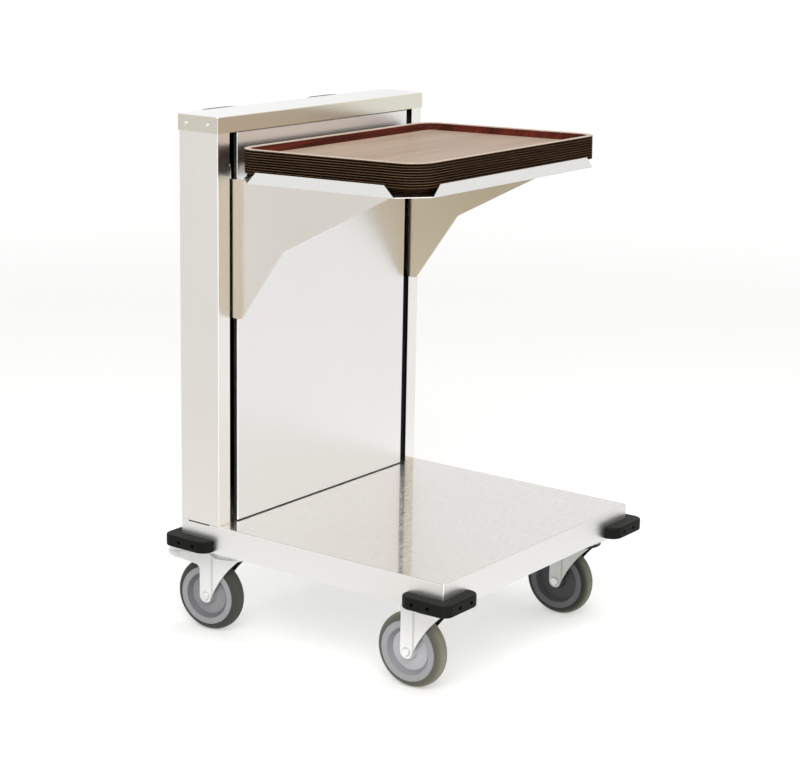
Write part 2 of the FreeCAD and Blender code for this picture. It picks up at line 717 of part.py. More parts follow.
# Column foot: a channel on the deck behind the front panel, under the carriage
foot_front = size("foot_front", 26)
foot_back = size("foot_back", 72)
foot_height = size("foot_height", 30)
foot = piece("column_foot")
block(foot, ADD, (-member_half, member_half), (post_front + foot_front, post_front + foot_back),
      (deck_top, deck_top + foot_height))
block(foot, CUT, (-member_half - OVERSHOOT, member_half + OVERSHOOT),
      (post_front + foot_front + rail_metal, post_front + foot_back - rail_metal),
      (deck_top - OVERSHOOT, deck_top + foot_height - rail_metal))

# Stop buffers: two rubber buttons on the foot, where the carriage lands at its lowest
buffer_across = size("buffer_across", 60)
buffer_radius = size("buffer_radius", 12)
buffer_height = size("buffer_height", 15)
spring_back = size("spring_back", 52)
stop_buffers = []
for side in (LEFT, RIGHT):
    button = loose_body("stop_buffer")
    rod(button, ADD, "Z", buffer_radius, (side * buffer_across, post_front + spring_back, deck_top + foot_height),
        buffer_height)
    stop_buffers.append(button)
piece_group("stop_buffers", stop_buffers)

# Guide rails: channels fixed inside the posts, in which the carriage's rollers run
guide_inner_edge = size("guide_inner_edge", 249)
guide_middle = size("guide_middle", 39)
guide_gap = size("guide_gap", 44)
for side_name, side in SIDES:
    guide = piece("guide_rail_" + side_name)
    guide_y = post_front + guide_middle
    guide_outer = base_half - sheet_metal
    block(guide, ADD, span(side * guide_inner_edge, side * guide_outer),
          (guide_y - guide_gap / 2 - rail_metal, guide_y + guide_gap / 2 + rail_metal),
          (deck_top, cap_bottom))
    block(guide, CUT, span(side * (guide_inner_edge - OVERSHOOT), side * (guide_outer - rail_metal)),
          (guide_y - guide_gap / 2, guide_y + guide_gap / 2), (deck_top - OVERSHOOT, column_top))

# Top spring bar: a round bar from rail to rail, from which the springs hang
spring_bar_radius = size("spring_bar_radius", 5)
top_bar_height = size("top_bar_height", 641)
top_bar_half = base_half - sheet_metal - rail_metal
top_bar = piece("spring_bar_top")
rod(top_bar, ADD, "X", spring_bar_radius,
    (-top_bar_half, post_front + spring_back, deck_top + top_bar_height), top_bar_half * 2)

# Gussets: two plates that come out through the slots and carry the platform on their sloping arms
gusset_inside = size("gusset_inside", 239)
gusset_metal = size("gusset_metal", 3)
gusset_back = size("gusset_back", 58)
gusset_bottom = size("gusset_bottom", 348)
gusset_toe = size("gusset_toe", 20.5)
gusset_knee_out = size("gusset_knee_out", 108)
gusset_knee_up = size("gusset_knee_up", 469)
gusset_tip_out = size("gusset_tip_out", 318)
gusset_tip_up = size("gusset_tip_up", 577.5)
gusset_ear_in = size("gusset_ear_in", 3)
gusset_ear_top = size("gusset_ear_top", 598.5)
gusset_ear_radius = size("gusset_ear_radius", 7)
platform_out = size("platform_out", 201)
platform_up = size("platform_up", 578.6)
platform_pitch = size("platform_pitch", 1.26)
pitch_angle = math.radians(platform_pitch.number)
pitch_tan = of_angle("tan", platform_pitch, math.tan(pitch_angle))
pitch_sin = of_angle("sin", platform_pitch, math.sin(pitch_angle))
pitch_cos = of_angle("cos", platform_pitch, math.cos(pitch_angle))
roller_low = size("roller_low", 385)
roller_high = size("roller_high", 560)
pin_radius = size("pin_radius", 5)
guide_y = post_front + guide_middle


def platform_underside(out):
    """Height of the platform's underside above the floor, at a distance out from the posts."""
    return deck_top + platform_up + pitch_tan * (out - platform_out)


ear_top = deck_top + gusset_ear_top
for side_name, side in SIDES:
    gusset = piece("gusset_" + side_name)
    plate_low, plate_high = span(side * gusset_inside, side * (gusset_inside + gusset_metal))
    plate_outline = outline(gusset, "YZ_Plane", plate_low, [
        (post_front + gusset_back, deck_top + gusset_bottom),
        (post_front + gusset_back, ear_top - gusset_ear_radius, gusset_ear_radius, 1),
        (post_front + gusset_back - gusset_ear_radius, ear_top),
        (post_front + gusset_ear_in + gusset_ear_radius, ear_top, gusset_ear_radius, 1),
        (post_front + gusset_ear_in, ear_top - gusset_ear_radius),
        (post_front + gusset_ear_in, platform_underside(-gusset_ear_in)),
        (post_front - gusset_tip_out, platform_underside(gusset_tip_out)),
        (post_front - gusset_tip_out, deck_top + gusset_tip_up),
        (post_front - gusset_knee_out, deck_top + gusset_knee_up),
        (post_front - gusset_toe, deck_top + gusset_bottom),
    ])
    pad(gusset, plate_outline, gusset_metal)
    for roller_height in (roller_low, roller_high):
        rod(gusset, CUT, "X", pin_radius + running_fit,
            (plate_low - OVERSHOOT, guide_y, deck_top + roller_height), gusset_metal + 2 * OVERSHOOT)

# Carriage plate: a folded plate inside the column that ties the two gussets together
carriage_front = size("carriage_front", 27)
carriage_metal = size("carriage_metal", 3)
carriage_back = size("carriage_back", 68)
carriage_bottom = size("carriage_bottom", 352)
carriage_top = size("carriage_top", 555)
carriage_fold_front = size("carriage_fold_front", 8)
carriage_fold_half = size("carriage_fold_half", 224)
carriage = piece("carriage_plate")
block(carriage, ADD, (-gusset_inside, gusset_inside),
      (post_front + carriage_front, post_front + carriage_front + carriage_metal),
      (deck_top + carriage_bottom, deck_top + carriage_top))
block(carriage, ADD, (-gusset_inside, gusset_inside),
      (post_front + carriage_front, post_front + carriage_back),
      (deck_top + carriage_bottom, deck_top + carriage_bottom + carriage_metal))
block(carriage, ADD, (-carriage_fold_half, carriage_fold_half),
      (post_front + carriage_fold_front, post_front + carriage_front + carriage_metal),
      (deck_top + carriage_top - carriage_metal, deck_top + carriage_top))

# Bottom spring bar: a round bar between the gussets that the springs pull up on
bottom_bar_height = size("bottom_bar_height", 372)
bottom_bar = piece("spring_bar_bottom")
rod(bottom_bar, ADD, "X", spring_bar_radius,
    (-gusset_inside, post_front + spring_back, deck_top + bottom_bar_height), gusset_inside * 2)

# Guide rollers and their pins: two rollers on the outer face of each gusset
roller_radius = size("roller_radius", 21.7)
roller_start = size("roller_start", 243)
roller_width = size("roller_width", 20)
pin_head_radius = size("pin_head_radius", 8)
pin_head_height = size("pin_head_height", 4)
pin_clip_radius = size("pin_clip_radius", 7)
pin_clip_gap = size("pin_clip_gap", 0.4)
pin_clip_width = size("pin_clip_width", 2)
roller_pins = []
for side_name, side in SIDES:
    for level_name, roller_height in (("low", roller_low), ("high", roller_high)):
        roller_place = (0, guide_y, deck_top + roller_height)
        roller = piece("guide_roller_" + level_name + "_" + side_name, roller_place)
        roller_end = roller_start + roller_width
        hole_along(roller, ADD, "X", roller_radius, 0, 0, (side * roller_start, side * roller_end))
        hole_along(roller, CUT, "X", pin_radius + running_fit, 0, 0,
                   (side * (roller_start - OVERSHOOT), side * (roller_end + OVERSHOOT)))
        pin = loose_body("roller_pin", roller_place)
        clip_start = roller_end + pin_clip_gap
        hole_along(pin, ADD, "X", pin_head_radius, 0, 0,
                   (side * (gusset_inside - pin_head_height), side * gusset_inside))
        hole_along(pin, ADD, "X", pin_radius, 0, 0, (side * gusset_inside, side * clip_start))
        hole_along(pin, ADD, "X", pin_clip_radius, 0, 0,
                   (side * clip_start, side * (clip_start + pin_clip_width)))
        roller_pins.append(pin)
piece_group("roller_pins", roller_pins)

# Tension springs: open coils between the two bars, with a ring at each end round the bar
spring_apart = size("spring_apart", 120)
wire_radius = size("wire_radius", 1.9)
coil_radius = size("coil_radius", 11.5)
coil_turns = size("coil_turns", 24)
ring_radius = size("ring_radius", 8.7)
ring_wire_radius = size("ring_wire_radius", 1.6)
ring_play = size("ring_play", 0.05)
ring_neck = size("ring_neck", 6.5)
joint_radius = size("joint_radius", 2.3)
ring_offset = ring_radius - ring_wire_radius - spring_bar_radius - ring_play
coil_bottom = bottom_bar_height + ring_offset + ring_radius + ring_neck
coil_top = top_bar_height - ring_offset - ring_radius - ring_neck
coil_length = coil_top - coil_bottom
UPRIGHT_SECTION = FreeCAD.Rotation(FreeCAD.Vector(1, 0, 0), 90)


def spring_part(kind, place, turn, settings):
    part = doc.addObject("Part::" + kind, "SpringPart")
    part.Placement = FreeCAD.Placement(FreeCAD.Vector(), turn)
    bind_point(part, "Placement.Base", place)
    for name, amount in settings:
        bind(part, name, amount)
    return part


for spring_number, spring_name in enumerate(("left", "middle", "right")):
    spring_x = (spring_number - 1) * spring_apart
    spring_y = post_front + spring_back
    start = (spring_x, spring_y, deck_top + coil_bottom)
    helix = spring_part("Helix", start, FreeCAD.Rotation(), [
        ("Radius", coil_radius), ("Height", coil_length), ("Pitch", coil_length / coil_turns)])
    wire = spring_part("Circle", (spring_x + coil_radius, spring_y, deck_top + coil_bottom),
                       UPRIGHT_SECTION, [("Radius", wire_radius)])
    coil = doc.addObject("Part::Sweep", "Coil")
    coil.Sections = [wire]
    coil.Spine = (helix, ["Edge1"])
    coil.Solid = True
    coil.Frenet = True
    members = [coil]
    for coil_end, bar_height, toward in ((coil_bottom, bottom_bar_height, 1), (coil_top, top_bar_height, -1)):
        end_height = deck_top + coil_end
        members.append(spring_part("Cylinder", (spring_x, spring_y, end_height), TURN_TO_AXIS["X"],
                                   [("Radius", wire_radius), ("Height", coil_radius)]))
        members.append(spring_part("Sphere", (spring_x + coil_radius, spring_y, end_height),
                                   FreeCAD.Rotation(), [("Radius", joint_radius)]))
        members.append(spring_part("Sphere", (spring_x, spring_y, end_height),
                                   FreeCAD.Rotation(), [("Radius", joint_radius)]))
        neck_low, neck_high = span(end_height, end_height - toward * ring_neck)
        members.append(spring_part("Cylinder", (spring_x, spring_y, neck_low), FreeCAD.Rotation(),
                                   [("Radius", wire_radius), ("Height", neck_high - neck_low)]))
        members.append(spring_part("Torus", (spring_x, spring_y, deck_top + bar_height + toward * ring_offset),
                                   TURN_TO_AXIS["X"], [("Radius1", ring_radius), ("Radius2", ring_wire_radius)]))
    spring = doc.addObject("Part::MultiFuse", "tension_spring_" + spring_name)
    spring.Label = "tension_spring_" + spring_name
    spring.Shapes = members
    pieces.append(spring)

# Tray platform: a plate with cut corners and four low flanges with slanted ends, pitched slightly nose-up
platform_half_x = size("platform_half_x", 271)
platform_half_y = size("platform_half_y", 186)
platform_cut = size("platform_cut", 42)
platform_flange = size("platform_flange", 18.7)
platform_y = post_front - platform_out
platform_z = deck_top + platform_up
NOSE_UP = FreeCAD.Vector(-1, 0, 0)


def on_platform(body, setting, lift, forward):
    """Place a body on the pitched platform, lifted off the plate's underside and shifted towards the front."""
    tilt = FreeCAD.Rotation(NOSE_UP, platform_pitch.number)
    body_place = FreeCAD.Placement(FreeCAD.Vector(), tilt)
    setattr(body, setting, body_place)
    bind_point(body, setting + ".Base", (0, platform_y + pitch_sin * lift - pitch_cos * forward,
                                         platform_z + pitch_cos * lift + pitch_sin * forward))
    body.setExpression(setting + ".Rotation.Angle", platform_pitch.formula + " * 1 deg")


platform = piece("tray_platform")
on_platform(platform, "Placement", as_size(0), as_size(0))
cut_x = platform_half_x - platform_cut
cut_y = platform_half_y - platform_cut
pad(platform, outline(platform, "XY_Plane", 0, [
    (platform_half_x, -cut_y), (platform_half_x, cut_y), (cut_x, platform_half_y), (-cut_x, platform_half_y),
    (-platform_half_x, cut_y), (-platform_half_x, -cut_y), (-cut_x, -platform_half_y), (cut_x, -platform_half_y),
]), sheet_metal)


def slanted_flange(plane, distance, half_length):
    """A low upright flange, longer at the bottom, its ends slanted at 45 degrees."""
    flange_outline = outline(platform, plane, distance, [
        (-half_length, 0), (half_length, 0), (half_length - platform_flange, platform_flange),
        (platform_flange - half_length, platform_flange),
    ])
    pad(platform, flange_outline, sheet_metal)


slanted_flange("YZ_Plane", platform_half_x - sheet_metal, cut_y)
slanted_flange("YZ_Plane", -platform_half_x, cut_y)
slanted_flange("XZ_Plane", platform_half_y - sheet_metal, cut_x)
slanted_flange("XZ_Plane", -platform_half_y, cut_x)

# Trays: pressed wood laminate with flared sides turned out into a flat lip at the rim.
# Their floors rest on each other, while the sides and the lips nest without touching.
tray_length = size("tray_length", 521)
tray_depth = size("tray_depth", 362)
tray_corner = size("tray_corner", 40)
tray_forward = size("tray_forward", 2.5)
tray_step = size("tray_step", 4)
tray_flare = size("tray_flare", 55)
rim_base = size("rim_base", 12.2)
rim_band = size("rim_band", 2.9)
rim_land = size("rim_land", 9.3)
rim_lip = size("rim_lip", 8.3)
rim_edge = size("rim_edge", 1.2)
flare_tan = of_angle("tan", tray_flare, math.tan(math.radians(tray_flare.number)))
rim_top = rim_base + rim_band
TRAY_COUNT = 10
top_tray = piece("top_tray")
on_platform(top_tray, "Placement", sheet_metal + tray_step * (TRAY_COUNT - 1), tray_forward)
foot_shrink = rim_lip + rim_base * flare_tan
well_shrink = rim_land + (rim_top - tray_step) * flare_tan
pad(top_tray, rounded_rectangle(top_tray, 0, tray_length / 2 - foot_shrink, tray_depth / 2 - foot_shrink,
                                tray_corner - foot_shrink), rim_base, tray_flare)
pad(top_tray, rounded_rectangle(top_tray, rim_base, tray_length / 2, tray_depth / 2, tray_corner), rim_band)
well = top_tray.newObject("PartDesign::Pocket", "Well")
well.Profile = rounded_rectangle(top_tray, tray_step, tray_length / 2 - well_shrink,
                                 tray_depth / 2 - well_shrink, tray_corner - well_shrink)
well.Reversed = True
bind(well, "Length", rim_top - tray_step + OVERSHOOT)
bind(well, "TaperAngle", tray_flare)


def is_rim_edge(edge):
    box = edge.BoundBox
    reach = max(abs(box.XMin), abs(box.XMax)) / (tray_length.number / 2)
    depth = max(abs(box.YMin), abs(box.YMax)) / (tray_depth.number / 2)
    on_band = is_level_at(edge, rim_base) or is_level_at(edge, rim_top)
    return on_band and (near(reach, 1) or near(depth, 1))


round_edges(top_tray, rim_edge, is_rim_edge)

stacked_trays = []
for tray_number in range(TRAY_COUNT - 1):
    stacked = doc.addObject("App::Link", "stacked_tray")
    stacked.LinkedObject = top_tray
    stacked.LinkTransform = False
    on_platform(stacked, "LinkPlacement", sheet_metal + tray_step * tray_number, tray_forward)
    stacked_trays.append(stacked)
piece_group("tray_stack", stacked_trays)

# Rear handles: two moulded bow handles on the back fold of the cap, with room for the fingers
handle_across = size("handle_across", 139)
handle_length = size("handle_length", 116)
handle_reach = size("handle_reach", 44)
handle_height = size("handle_height", 18)
handle_leg = size("handle_leg", 18)
handle_bar = size("handle_bar", 15)
handle_drop = size("handle_drop", 5.4)
handle_bow = size("handle_bow", 40)
handle_inner_bow = size("handle_inner_bow", 10)
handle_edge = size("handle_edge", 4)
handle_foot = base_back + cap_gap + sheet_metal
handle_top = column_top - handle_drop
for side_name, side in SIDES:
    handle = piece("rear_handle_" + side_name, (side * handle_across, handle_foot, handle_top - handle_height))
    half_length = handle_length / 2
    finger_half = half_length - handle_leg
    finger_depth = handle_reach - handle_bar
    block(handle, ADD, (-half_length, half_length), (0, handle_reach), (0, handle_height))
    block(handle, CUT, (-finger_half, finger_half), (-OVERSHOOT, finger_depth),
          (-OVERSHOOT, handle_height + OVERSHOOT))
    round_edges(handle, handle_bow, lambda edge: is_upright_at(
        edge, [(-half_length, handle_reach), (half_length, handle_reach)]))
    round_edges(handle, handle_inner_bow, lambda edge: is_upright_at(
        edge, [(-finger_half, finger_depth), (finger_half, finger_depth)]))
    round_edges(handle, handle_edge, lambda edge: near(edge.BoundBox.ZLength, 0)
                and edge.BoundBox.YMax > 0.001)

# Check every feature and every finished shape, then write one file for each piece
doc.recompute()
faults = [item.Label for item in doc.Objects if "Invalid" in item.State or "Error" in item.State]
if faults:
    raise RuntimeError("features that did not build: " + ", ".join(faults))
os.makedirs("parts", exist_ok=True)
for item in pieces:
    if item.Shape.isNull() or not item.Shape.isValid():
        raise RuntimeError("shape is not sound: " + item.Label)
    item.Shape.exportStep("parts/" + item.Label + ".step")
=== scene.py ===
import json
import math
import bmesh
import bpy
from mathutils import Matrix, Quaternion, Vector


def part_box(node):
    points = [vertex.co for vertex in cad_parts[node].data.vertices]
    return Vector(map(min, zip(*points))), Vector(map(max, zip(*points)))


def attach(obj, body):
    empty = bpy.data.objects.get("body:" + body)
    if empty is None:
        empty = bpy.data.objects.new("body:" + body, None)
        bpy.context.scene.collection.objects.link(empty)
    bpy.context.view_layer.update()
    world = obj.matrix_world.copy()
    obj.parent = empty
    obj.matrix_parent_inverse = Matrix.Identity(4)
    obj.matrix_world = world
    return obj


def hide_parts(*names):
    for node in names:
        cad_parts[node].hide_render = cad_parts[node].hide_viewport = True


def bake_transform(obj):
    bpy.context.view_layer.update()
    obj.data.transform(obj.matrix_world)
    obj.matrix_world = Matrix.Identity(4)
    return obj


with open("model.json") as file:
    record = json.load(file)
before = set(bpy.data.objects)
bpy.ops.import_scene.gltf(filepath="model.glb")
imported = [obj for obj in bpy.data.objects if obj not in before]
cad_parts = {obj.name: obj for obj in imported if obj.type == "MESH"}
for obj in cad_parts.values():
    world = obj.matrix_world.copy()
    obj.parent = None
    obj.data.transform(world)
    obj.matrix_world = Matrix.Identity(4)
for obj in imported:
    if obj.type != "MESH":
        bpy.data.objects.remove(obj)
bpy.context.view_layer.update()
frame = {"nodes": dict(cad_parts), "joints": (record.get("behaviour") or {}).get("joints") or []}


# Base deck: one sheet of stainless steel folded down into a skirt on all four sides.
# It is ground in fine straight lines, across the top and along each skirt, and left bright enough
# to mirror the column that stands on it.
class Tone:
    """One value of a finish, taken from a node's output. Arithmetic on tones adds Math nodes."""

    def __init__(self, finish, socket):
        self.finish = finish
        self.socket = socket

    def maths(self, operation, first, second):
        return self.finish.node("ShaderNodeMath", {"operation": operation}, {0: first, 1: second})

    def __add__(self, other):
        return self.maths("ADD", self, other)

    def __radd__(self, other):
        return self.maths("ADD", other, self)

    def __sub__(self, other):
        return self.maths("SUBTRACT", self, other)

    def __rsub__(self, other):
        return self.maths("SUBTRACT", other, self)

    def __mul__(self, other):
        return self.maths("MULTIPLY", self, other)

    def __rmul__(self, other):
        return self.maths("MULTIPLY", other, self)

    def __truediv__(self, other):
        return self.maths("DIVIDE", self, other)

    def __rtruediv__(self, other):
        return self.maths("DIVIDE", other, self)

    def __abs__(self):
        return self.finish.node("ShaderNodeMath", {"operation": "ABSOLUTE"}, {0: self})


class Finish:
    """The nodes that make one finish, in a material or in the world."""

    def __init__(self, tree):
        self.tree = tree

    def set(self, socket, amount):
        if isinstance(amount, Tone):
            self.tree.links.new(amount.socket, socket)
        else:
            socket.default_value = amount

    def node(self, kind, settings, sockets, output=0):
        made = self.tree.nodes.new(kind)
        for name, setting in settings.items():
            if name == "stops":
                ramp = made.color_ramp
                while len(ramp.elements) < len(setting):
                    ramp.elements.new(1.0)
                for element, (position, colour) in zip(ramp.elements, setting):
                    element.position = position
                    element.color = colour
            else:
                setattr(made, name, setting)
        for name, amount in sockets.items():
            self.set(made.inputs[name], amount)
        return Tone(self, made.outputs[output])

    def blend(self, share, first, second):
        """A colour or vector between two others."""
        return self.node("ShaderNodeMix", {"data_type": "RGBA"}, {0: share, 6: first, 7: second}, 2)

    def vector(self, operation, first, second):
        return self.node("ShaderNodeVectorMath", {"operation": operation}, {0: first, 1: second})

    def dot(self, first, second):
        return self.node("ShaderNodeVectorMath", {"operation": "DOT_PRODUCT"},
                         {0: first, 1: second}, "Value")

    def part_of(self, vector, axis):
        return self.node("ShaderNodeSeparateXYZ", {}, {"Vector": vector}, axis)

    def place(self):
        """Where a point is on the piece, in metres from the trolley's origin."""
        return self.node("ShaderNodeTexCoord", {}, {}, "Object")

    def facing(self):
        """Which way the surface faces on the piece."""
        return self.node("ShaderNodeTexCoord", {}, {}, "Normal")

    def noise(self, place, per_metre, detail=3.0):
        stretched = self.vector("MULTIPLY", place, per_metre)
        return self.node("ShaderNodeTexNoise", {}, {"Vector": stretched, "Scale": 1.0, "Detail": detail})

    def between(self, amount, low, high):
        """0 below low, 1 above high, and a smooth rise between."""
        return self.node("ShaderNodeMapRange", {"interpolation_type": "SMOOTHSTEP"},
                         {"Value": amount, "From Min": low, "From Max": high})

    def bump(self, height, strength, depth):
        return self.node("ShaderNodeBump", {}, {"Height": height, "Strength": strength, "Distance": depth})


def new_finish(name, **surface):
    """A material with the constant settings of its surface; the varying ones are linked afterwards."""
    material = bpy.data.materials.new(name)
    material.use_nodes = True
    finish = Finish(material.node_tree)
    finish.material = material
    finish.shader = material.node_tree.nodes["Principled BSDF"]
    for socket_name, amount in surface.items():
        finish.shader.inputs[socket_name.replace("_", " ")].default_value = amount
    return finish


def link(finish, **varying):
    for socket_name, tone in varying.items():
        finish.set(finish.shader.inputs[socket_name.replace("_", " ")], tone)


def dress(finish, *node_names):
    for node_name in node_names:
        for slot in frame["nodes"][node_name].material_slots:
            slot.material = finish.material


ALONG_X = (14.0, 700.0, 700.0)
ALONG_Y = (700.0, 14.0, 700.0)
ALONG_Z = (700.0, 700.0, 14.0)
RELIEF = 0.0002
LINE_TONE = (0.60, 0.58, 0.54, 1.0)
FACES_FROM = 0.5
FACES_FULL = 0.8


def ground_steel(name, colour, tint, polish, lines, side_lines=None, relief=RELIEF):
    """Ground stainless sheet: fine lines, soft clouds of duller polish, and a faint warm tint in places."""
    steel = new_finish(name, Metallic=1.0)
    place = steel.place()
    grain = steel.noise(place, lines)
    if side_lines:
        faces_side = steel.between(abs(steel.part_of(steel.facing(), "X")), 0.4, 0.6)
        grain = grain + faces_side * (steel.noise(place, side_lines) - grain)
    clouds = steel.noise(place, (6.0, 6.0, 6.0))
    rubbed = steel.between(steel.noise(place, (23.0, 23.0, 9.0), 5.0), 0.55, 0.75)
    tinted = steel.blend(clouds, colour, tint)
    steel.faces_up = steel.between(steel.part_of(steel.facing(), "Z"), FACES_FROM, FACES_FULL)
    steel.tone = steel.blend(grain * 0.12, tinted, LINE_TONE)
    steel.grain = grain
    steel.dulled = polish + (grain - 0.5) * 0.08 + (clouds - 0.5) * 0.06 + rubbed * 0.03
    link(steel,
         Base_Color=steel.tone,
         Roughness=steel.dulled,
         Normal=steel.bump(grain, 0.02, relief))
    return steel


FINE_ALONG_X = (40.0, 3000.0, 3000.0)
FINE_ALONG_Y = (3000.0, 40.0, 3000.0)
FINE_RELIEF = 0.00002
deck_steel = ground_steel("deck_ground_steel", (0.94, 0.93, 0.91, 1.0), (0.91, 0.895, 0.87, 1.0), 0.32,
                          FINE_ALONG_X, FINE_ALONG_Y, FINE_RELIEF)
# The top is polished to a mirror between its lines, and the lines themselves stay hazy
HAZE = 0.40
MIRROR = 0.055
SKIRT_SHADE_TONE = (0.88, 0.87, 0.845, 1.0)
FOLD_REFLECTION_TONE = (0.34, 0.27, 0.19, 1.0)
FOLD_REFLECTION_SHARE = 0.4
SLIT_SHADE = (0.03, 0.02, 0.012, 1.0)
hazy = deck_steel.between(deck_steel.grain, 0.46, 0.56)
deck_top = MIRROR + hazy * (HAZE - MIRROR)
link(deck_steel, Roughness=deck_steel.dulled + deck_steel.faces_up * (deck_top - deck_steel.dulled))
deck_place = deck_steel.place()
# The skirts are painted a little darker than the top, as painted shade
deck_tone = deck_steel.blend(deck_steel.faces_up, SKIRT_SHADE_TONE, deck_steel.tone)
# The fold round the top carries a thin brown line, a painted reflection
deck_up = deck_steel.part_of(deck_steel.facing(), "Z")
on_fold = deck_steel.between(deck_up, 0.60, 0.80) * (1.0 - deck_steel.between(deck_up, 0.95, 0.995))
deck_tone = deck_steel.blend(on_fold * FOLD_REFLECTION_SHARE, deck_tone, FOLD_REFLECTION_TONE)
# The posts' feet are welded at their ends only, which leaves a slit between; its shade is painted dark on
# the deck
post_low, post_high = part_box("post_left")
SLIT_FRONT = 0.0197
SLIT_REAR = 0.0156
SLIT_DEPTH = 0.0030
SLIT_WIDTH = 0.0030
SLIT_FADE = 0.001
slit_start = post_low.y + SLIT_FRONT
slit_end = post_high.y - SLIT_REAR
slit_floor = post_low.z - SLIT_DEPTH
slit_side = -post_low.x - SLIT_WIDTH
along_foot = deck_steel.part_of(deck_place, "Y")
deck_height = deck_steel.part_of(deck_place, "Z")
from_centre = abs(deck_steel.part_of(deck_place, "X"))
in_slit = deck_steel.between(along_foot, slit_start, slit_start + SLIT_FADE)
in_slit = in_slit * deck_steel.between(along_foot, slit_end, slit_end - SLIT_FADE)
in_slit = in_slit * deck_steel.between(deck_height, slit_floor, slit_floor + SLIT_DEPTH / 2)
in_slit = in_slit * deck_steel.between(from_centre, slit_side, slit_side + SLIT_WIDTH / 2)
link(deck_steel, Base_Color=deck_steel.blend(in_slit, deck_tone, SLIT_SHADE))
dress(deck_steel, "base_deck")


# Corner bumpers: moulded black rubber angles that stand out round the four corners of the skirt.
# Each has a parting line at half height, and four screws that sit deep in round recesses.
bumper_low, bumper_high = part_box("bumper_front_left")
parting_height = (bumper_low.z + bumper_high.z) / 2
PARTING_CORE = 0.0002
PARTING_EDGE = 0.0007
rubber = new_finish("black_bumper_rubber", Specular_IOR_Level=0.12)
rubber_place = rubber.place()
rubber_grain = rubber.noise(rubber_place, (900.0, 900.0, 900.0))
rubber_bloom = rubber.noise(rubber_place, (38.0, 38.0, 60.0), 4.0)
from_parting = abs(rubber.part_of(rubber_place, "Z") - parting_height)
parting_line = 1.0 - rubber.between(from_parting, PARTING_CORE, PARTING_EDGE)
link(rubber,
     Base_Color=rubber.blend(rubber_bloom, (0.004, 0.0045, 0.0033, 1.0), (0.011, 0.0115, 0.009, 1.0)),
     Roughness=0.44 + rubber_bloom * 0.22 + (rubber_grain - 0.5) * 0.12,
     Normal=rubber.bump(rubber_grain * 0.3 + parting_line, 0.35, 0.0005))
CORNERS = ("front_left", "front_right", "rear_left", "rear_right")
for corner in CORNERS:
    dress(rubber, "bumper_" + corner)

# The screws are painted near black, as painted shade deep in their recesses
screw_in_shade = new_finish("screw_steel_painted_shade", Metallic=0.8)
screw_wear = screw_in_shade.noise(screw_in_shade.place(), (400.0, 400.0, 400.0), 4.0)
link(screw_in_shade,
     Base_Color=screw_in_shade.blend(screw_wear, (0.004, 0.004, 0.004, 1.0), (0.012, 0.012, 0.011, 1.0)),
     Roughness=0.45 + screw_wear * 0.2)
dress(screw_in_shade, "bumper_screws")


# Castor channels and plates: pressed steel with a bright zinc coat, bolted together under the deck.
# The coat shows faint flakes of crystal, and greys a little where water has dried on it.
def zinc_coat(name, bright, dull, polish, flakes_per_metre):
    zinc = new_finish(name, Metallic=0.75)
    place = zinc.place()
    flakes = zinc.node("ShaderNodeTexVoronoi", {}, {"Vector": place, "Scale": flakes_per_metre}, "Color")
    flake = zinc.part_of(flakes, "X")
    stains = zinc.between(zinc.noise(place, (30.0, 30.0, 22.0), 5.0), 0.45, 0.8)
    link(zinc,
         Base_Color=zinc.blend(stains * 0.6 + flake * 0.15, bright, dull),
         Roughness=polish + flake * 0.06 + stains * 0.10,
         Normal=zinc.bump(zinc.noise(place, (260.0, 260.0, 260.0)), 0.06, 0.0004))
    return zinc


plate_zinc = zinc_coat("castor_plate_zinc", (0.78, 0.80, 0.79, 1.0), (0.56, 0.58, 0.57, 1.0), 0.30, 420.0)
dress(plate_zinc, "castor_channel_left", "castor_channel_right", "castor_bolts")
for castor in CORNERS:
    dress(plate_zinc, "castor_plate_" + castor)


# Castor forks and axles: forks pressed from sheet, each leg a flat strip with a thinner web beside it.
# They carry a bright, slightly milky zinc coat. Painted shade darkens the right forks, the inner faces of
# the legs, the front right crown, the crease beside each strip and a ring round each axle head. The rear
# pair reach back in arms for the brake pedals.
joints = {joint["name"]: joint for joint in frame["joints"]}


def wheel_axis(castor):
    """The middle of a wheel and the direction of its axle."""
    spin = joints["wheel_spin_" + castor]
    return Vector(spin["pos_m"]), Vector(spin["axis"]).normalized()


def from_axle(finish, castor):
    """Distance from the axle, and along it from the wheel's middle plane, in metres."""
    middle, axle = wheel_axis(castor)
    away = finish.vector("SUBTRACT", finish.place(), tuple(middle))
    along = finish.dot(away, tuple(axle))
    reach = finish.node("ShaderNodeVectorMath", {"operation": "LENGTH"}, {0: away}, "Value")
    across = reach * reach - along * along
    return finish.node("ShaderNodeMath", {"operation": "SQRT"}, {0: across}), along


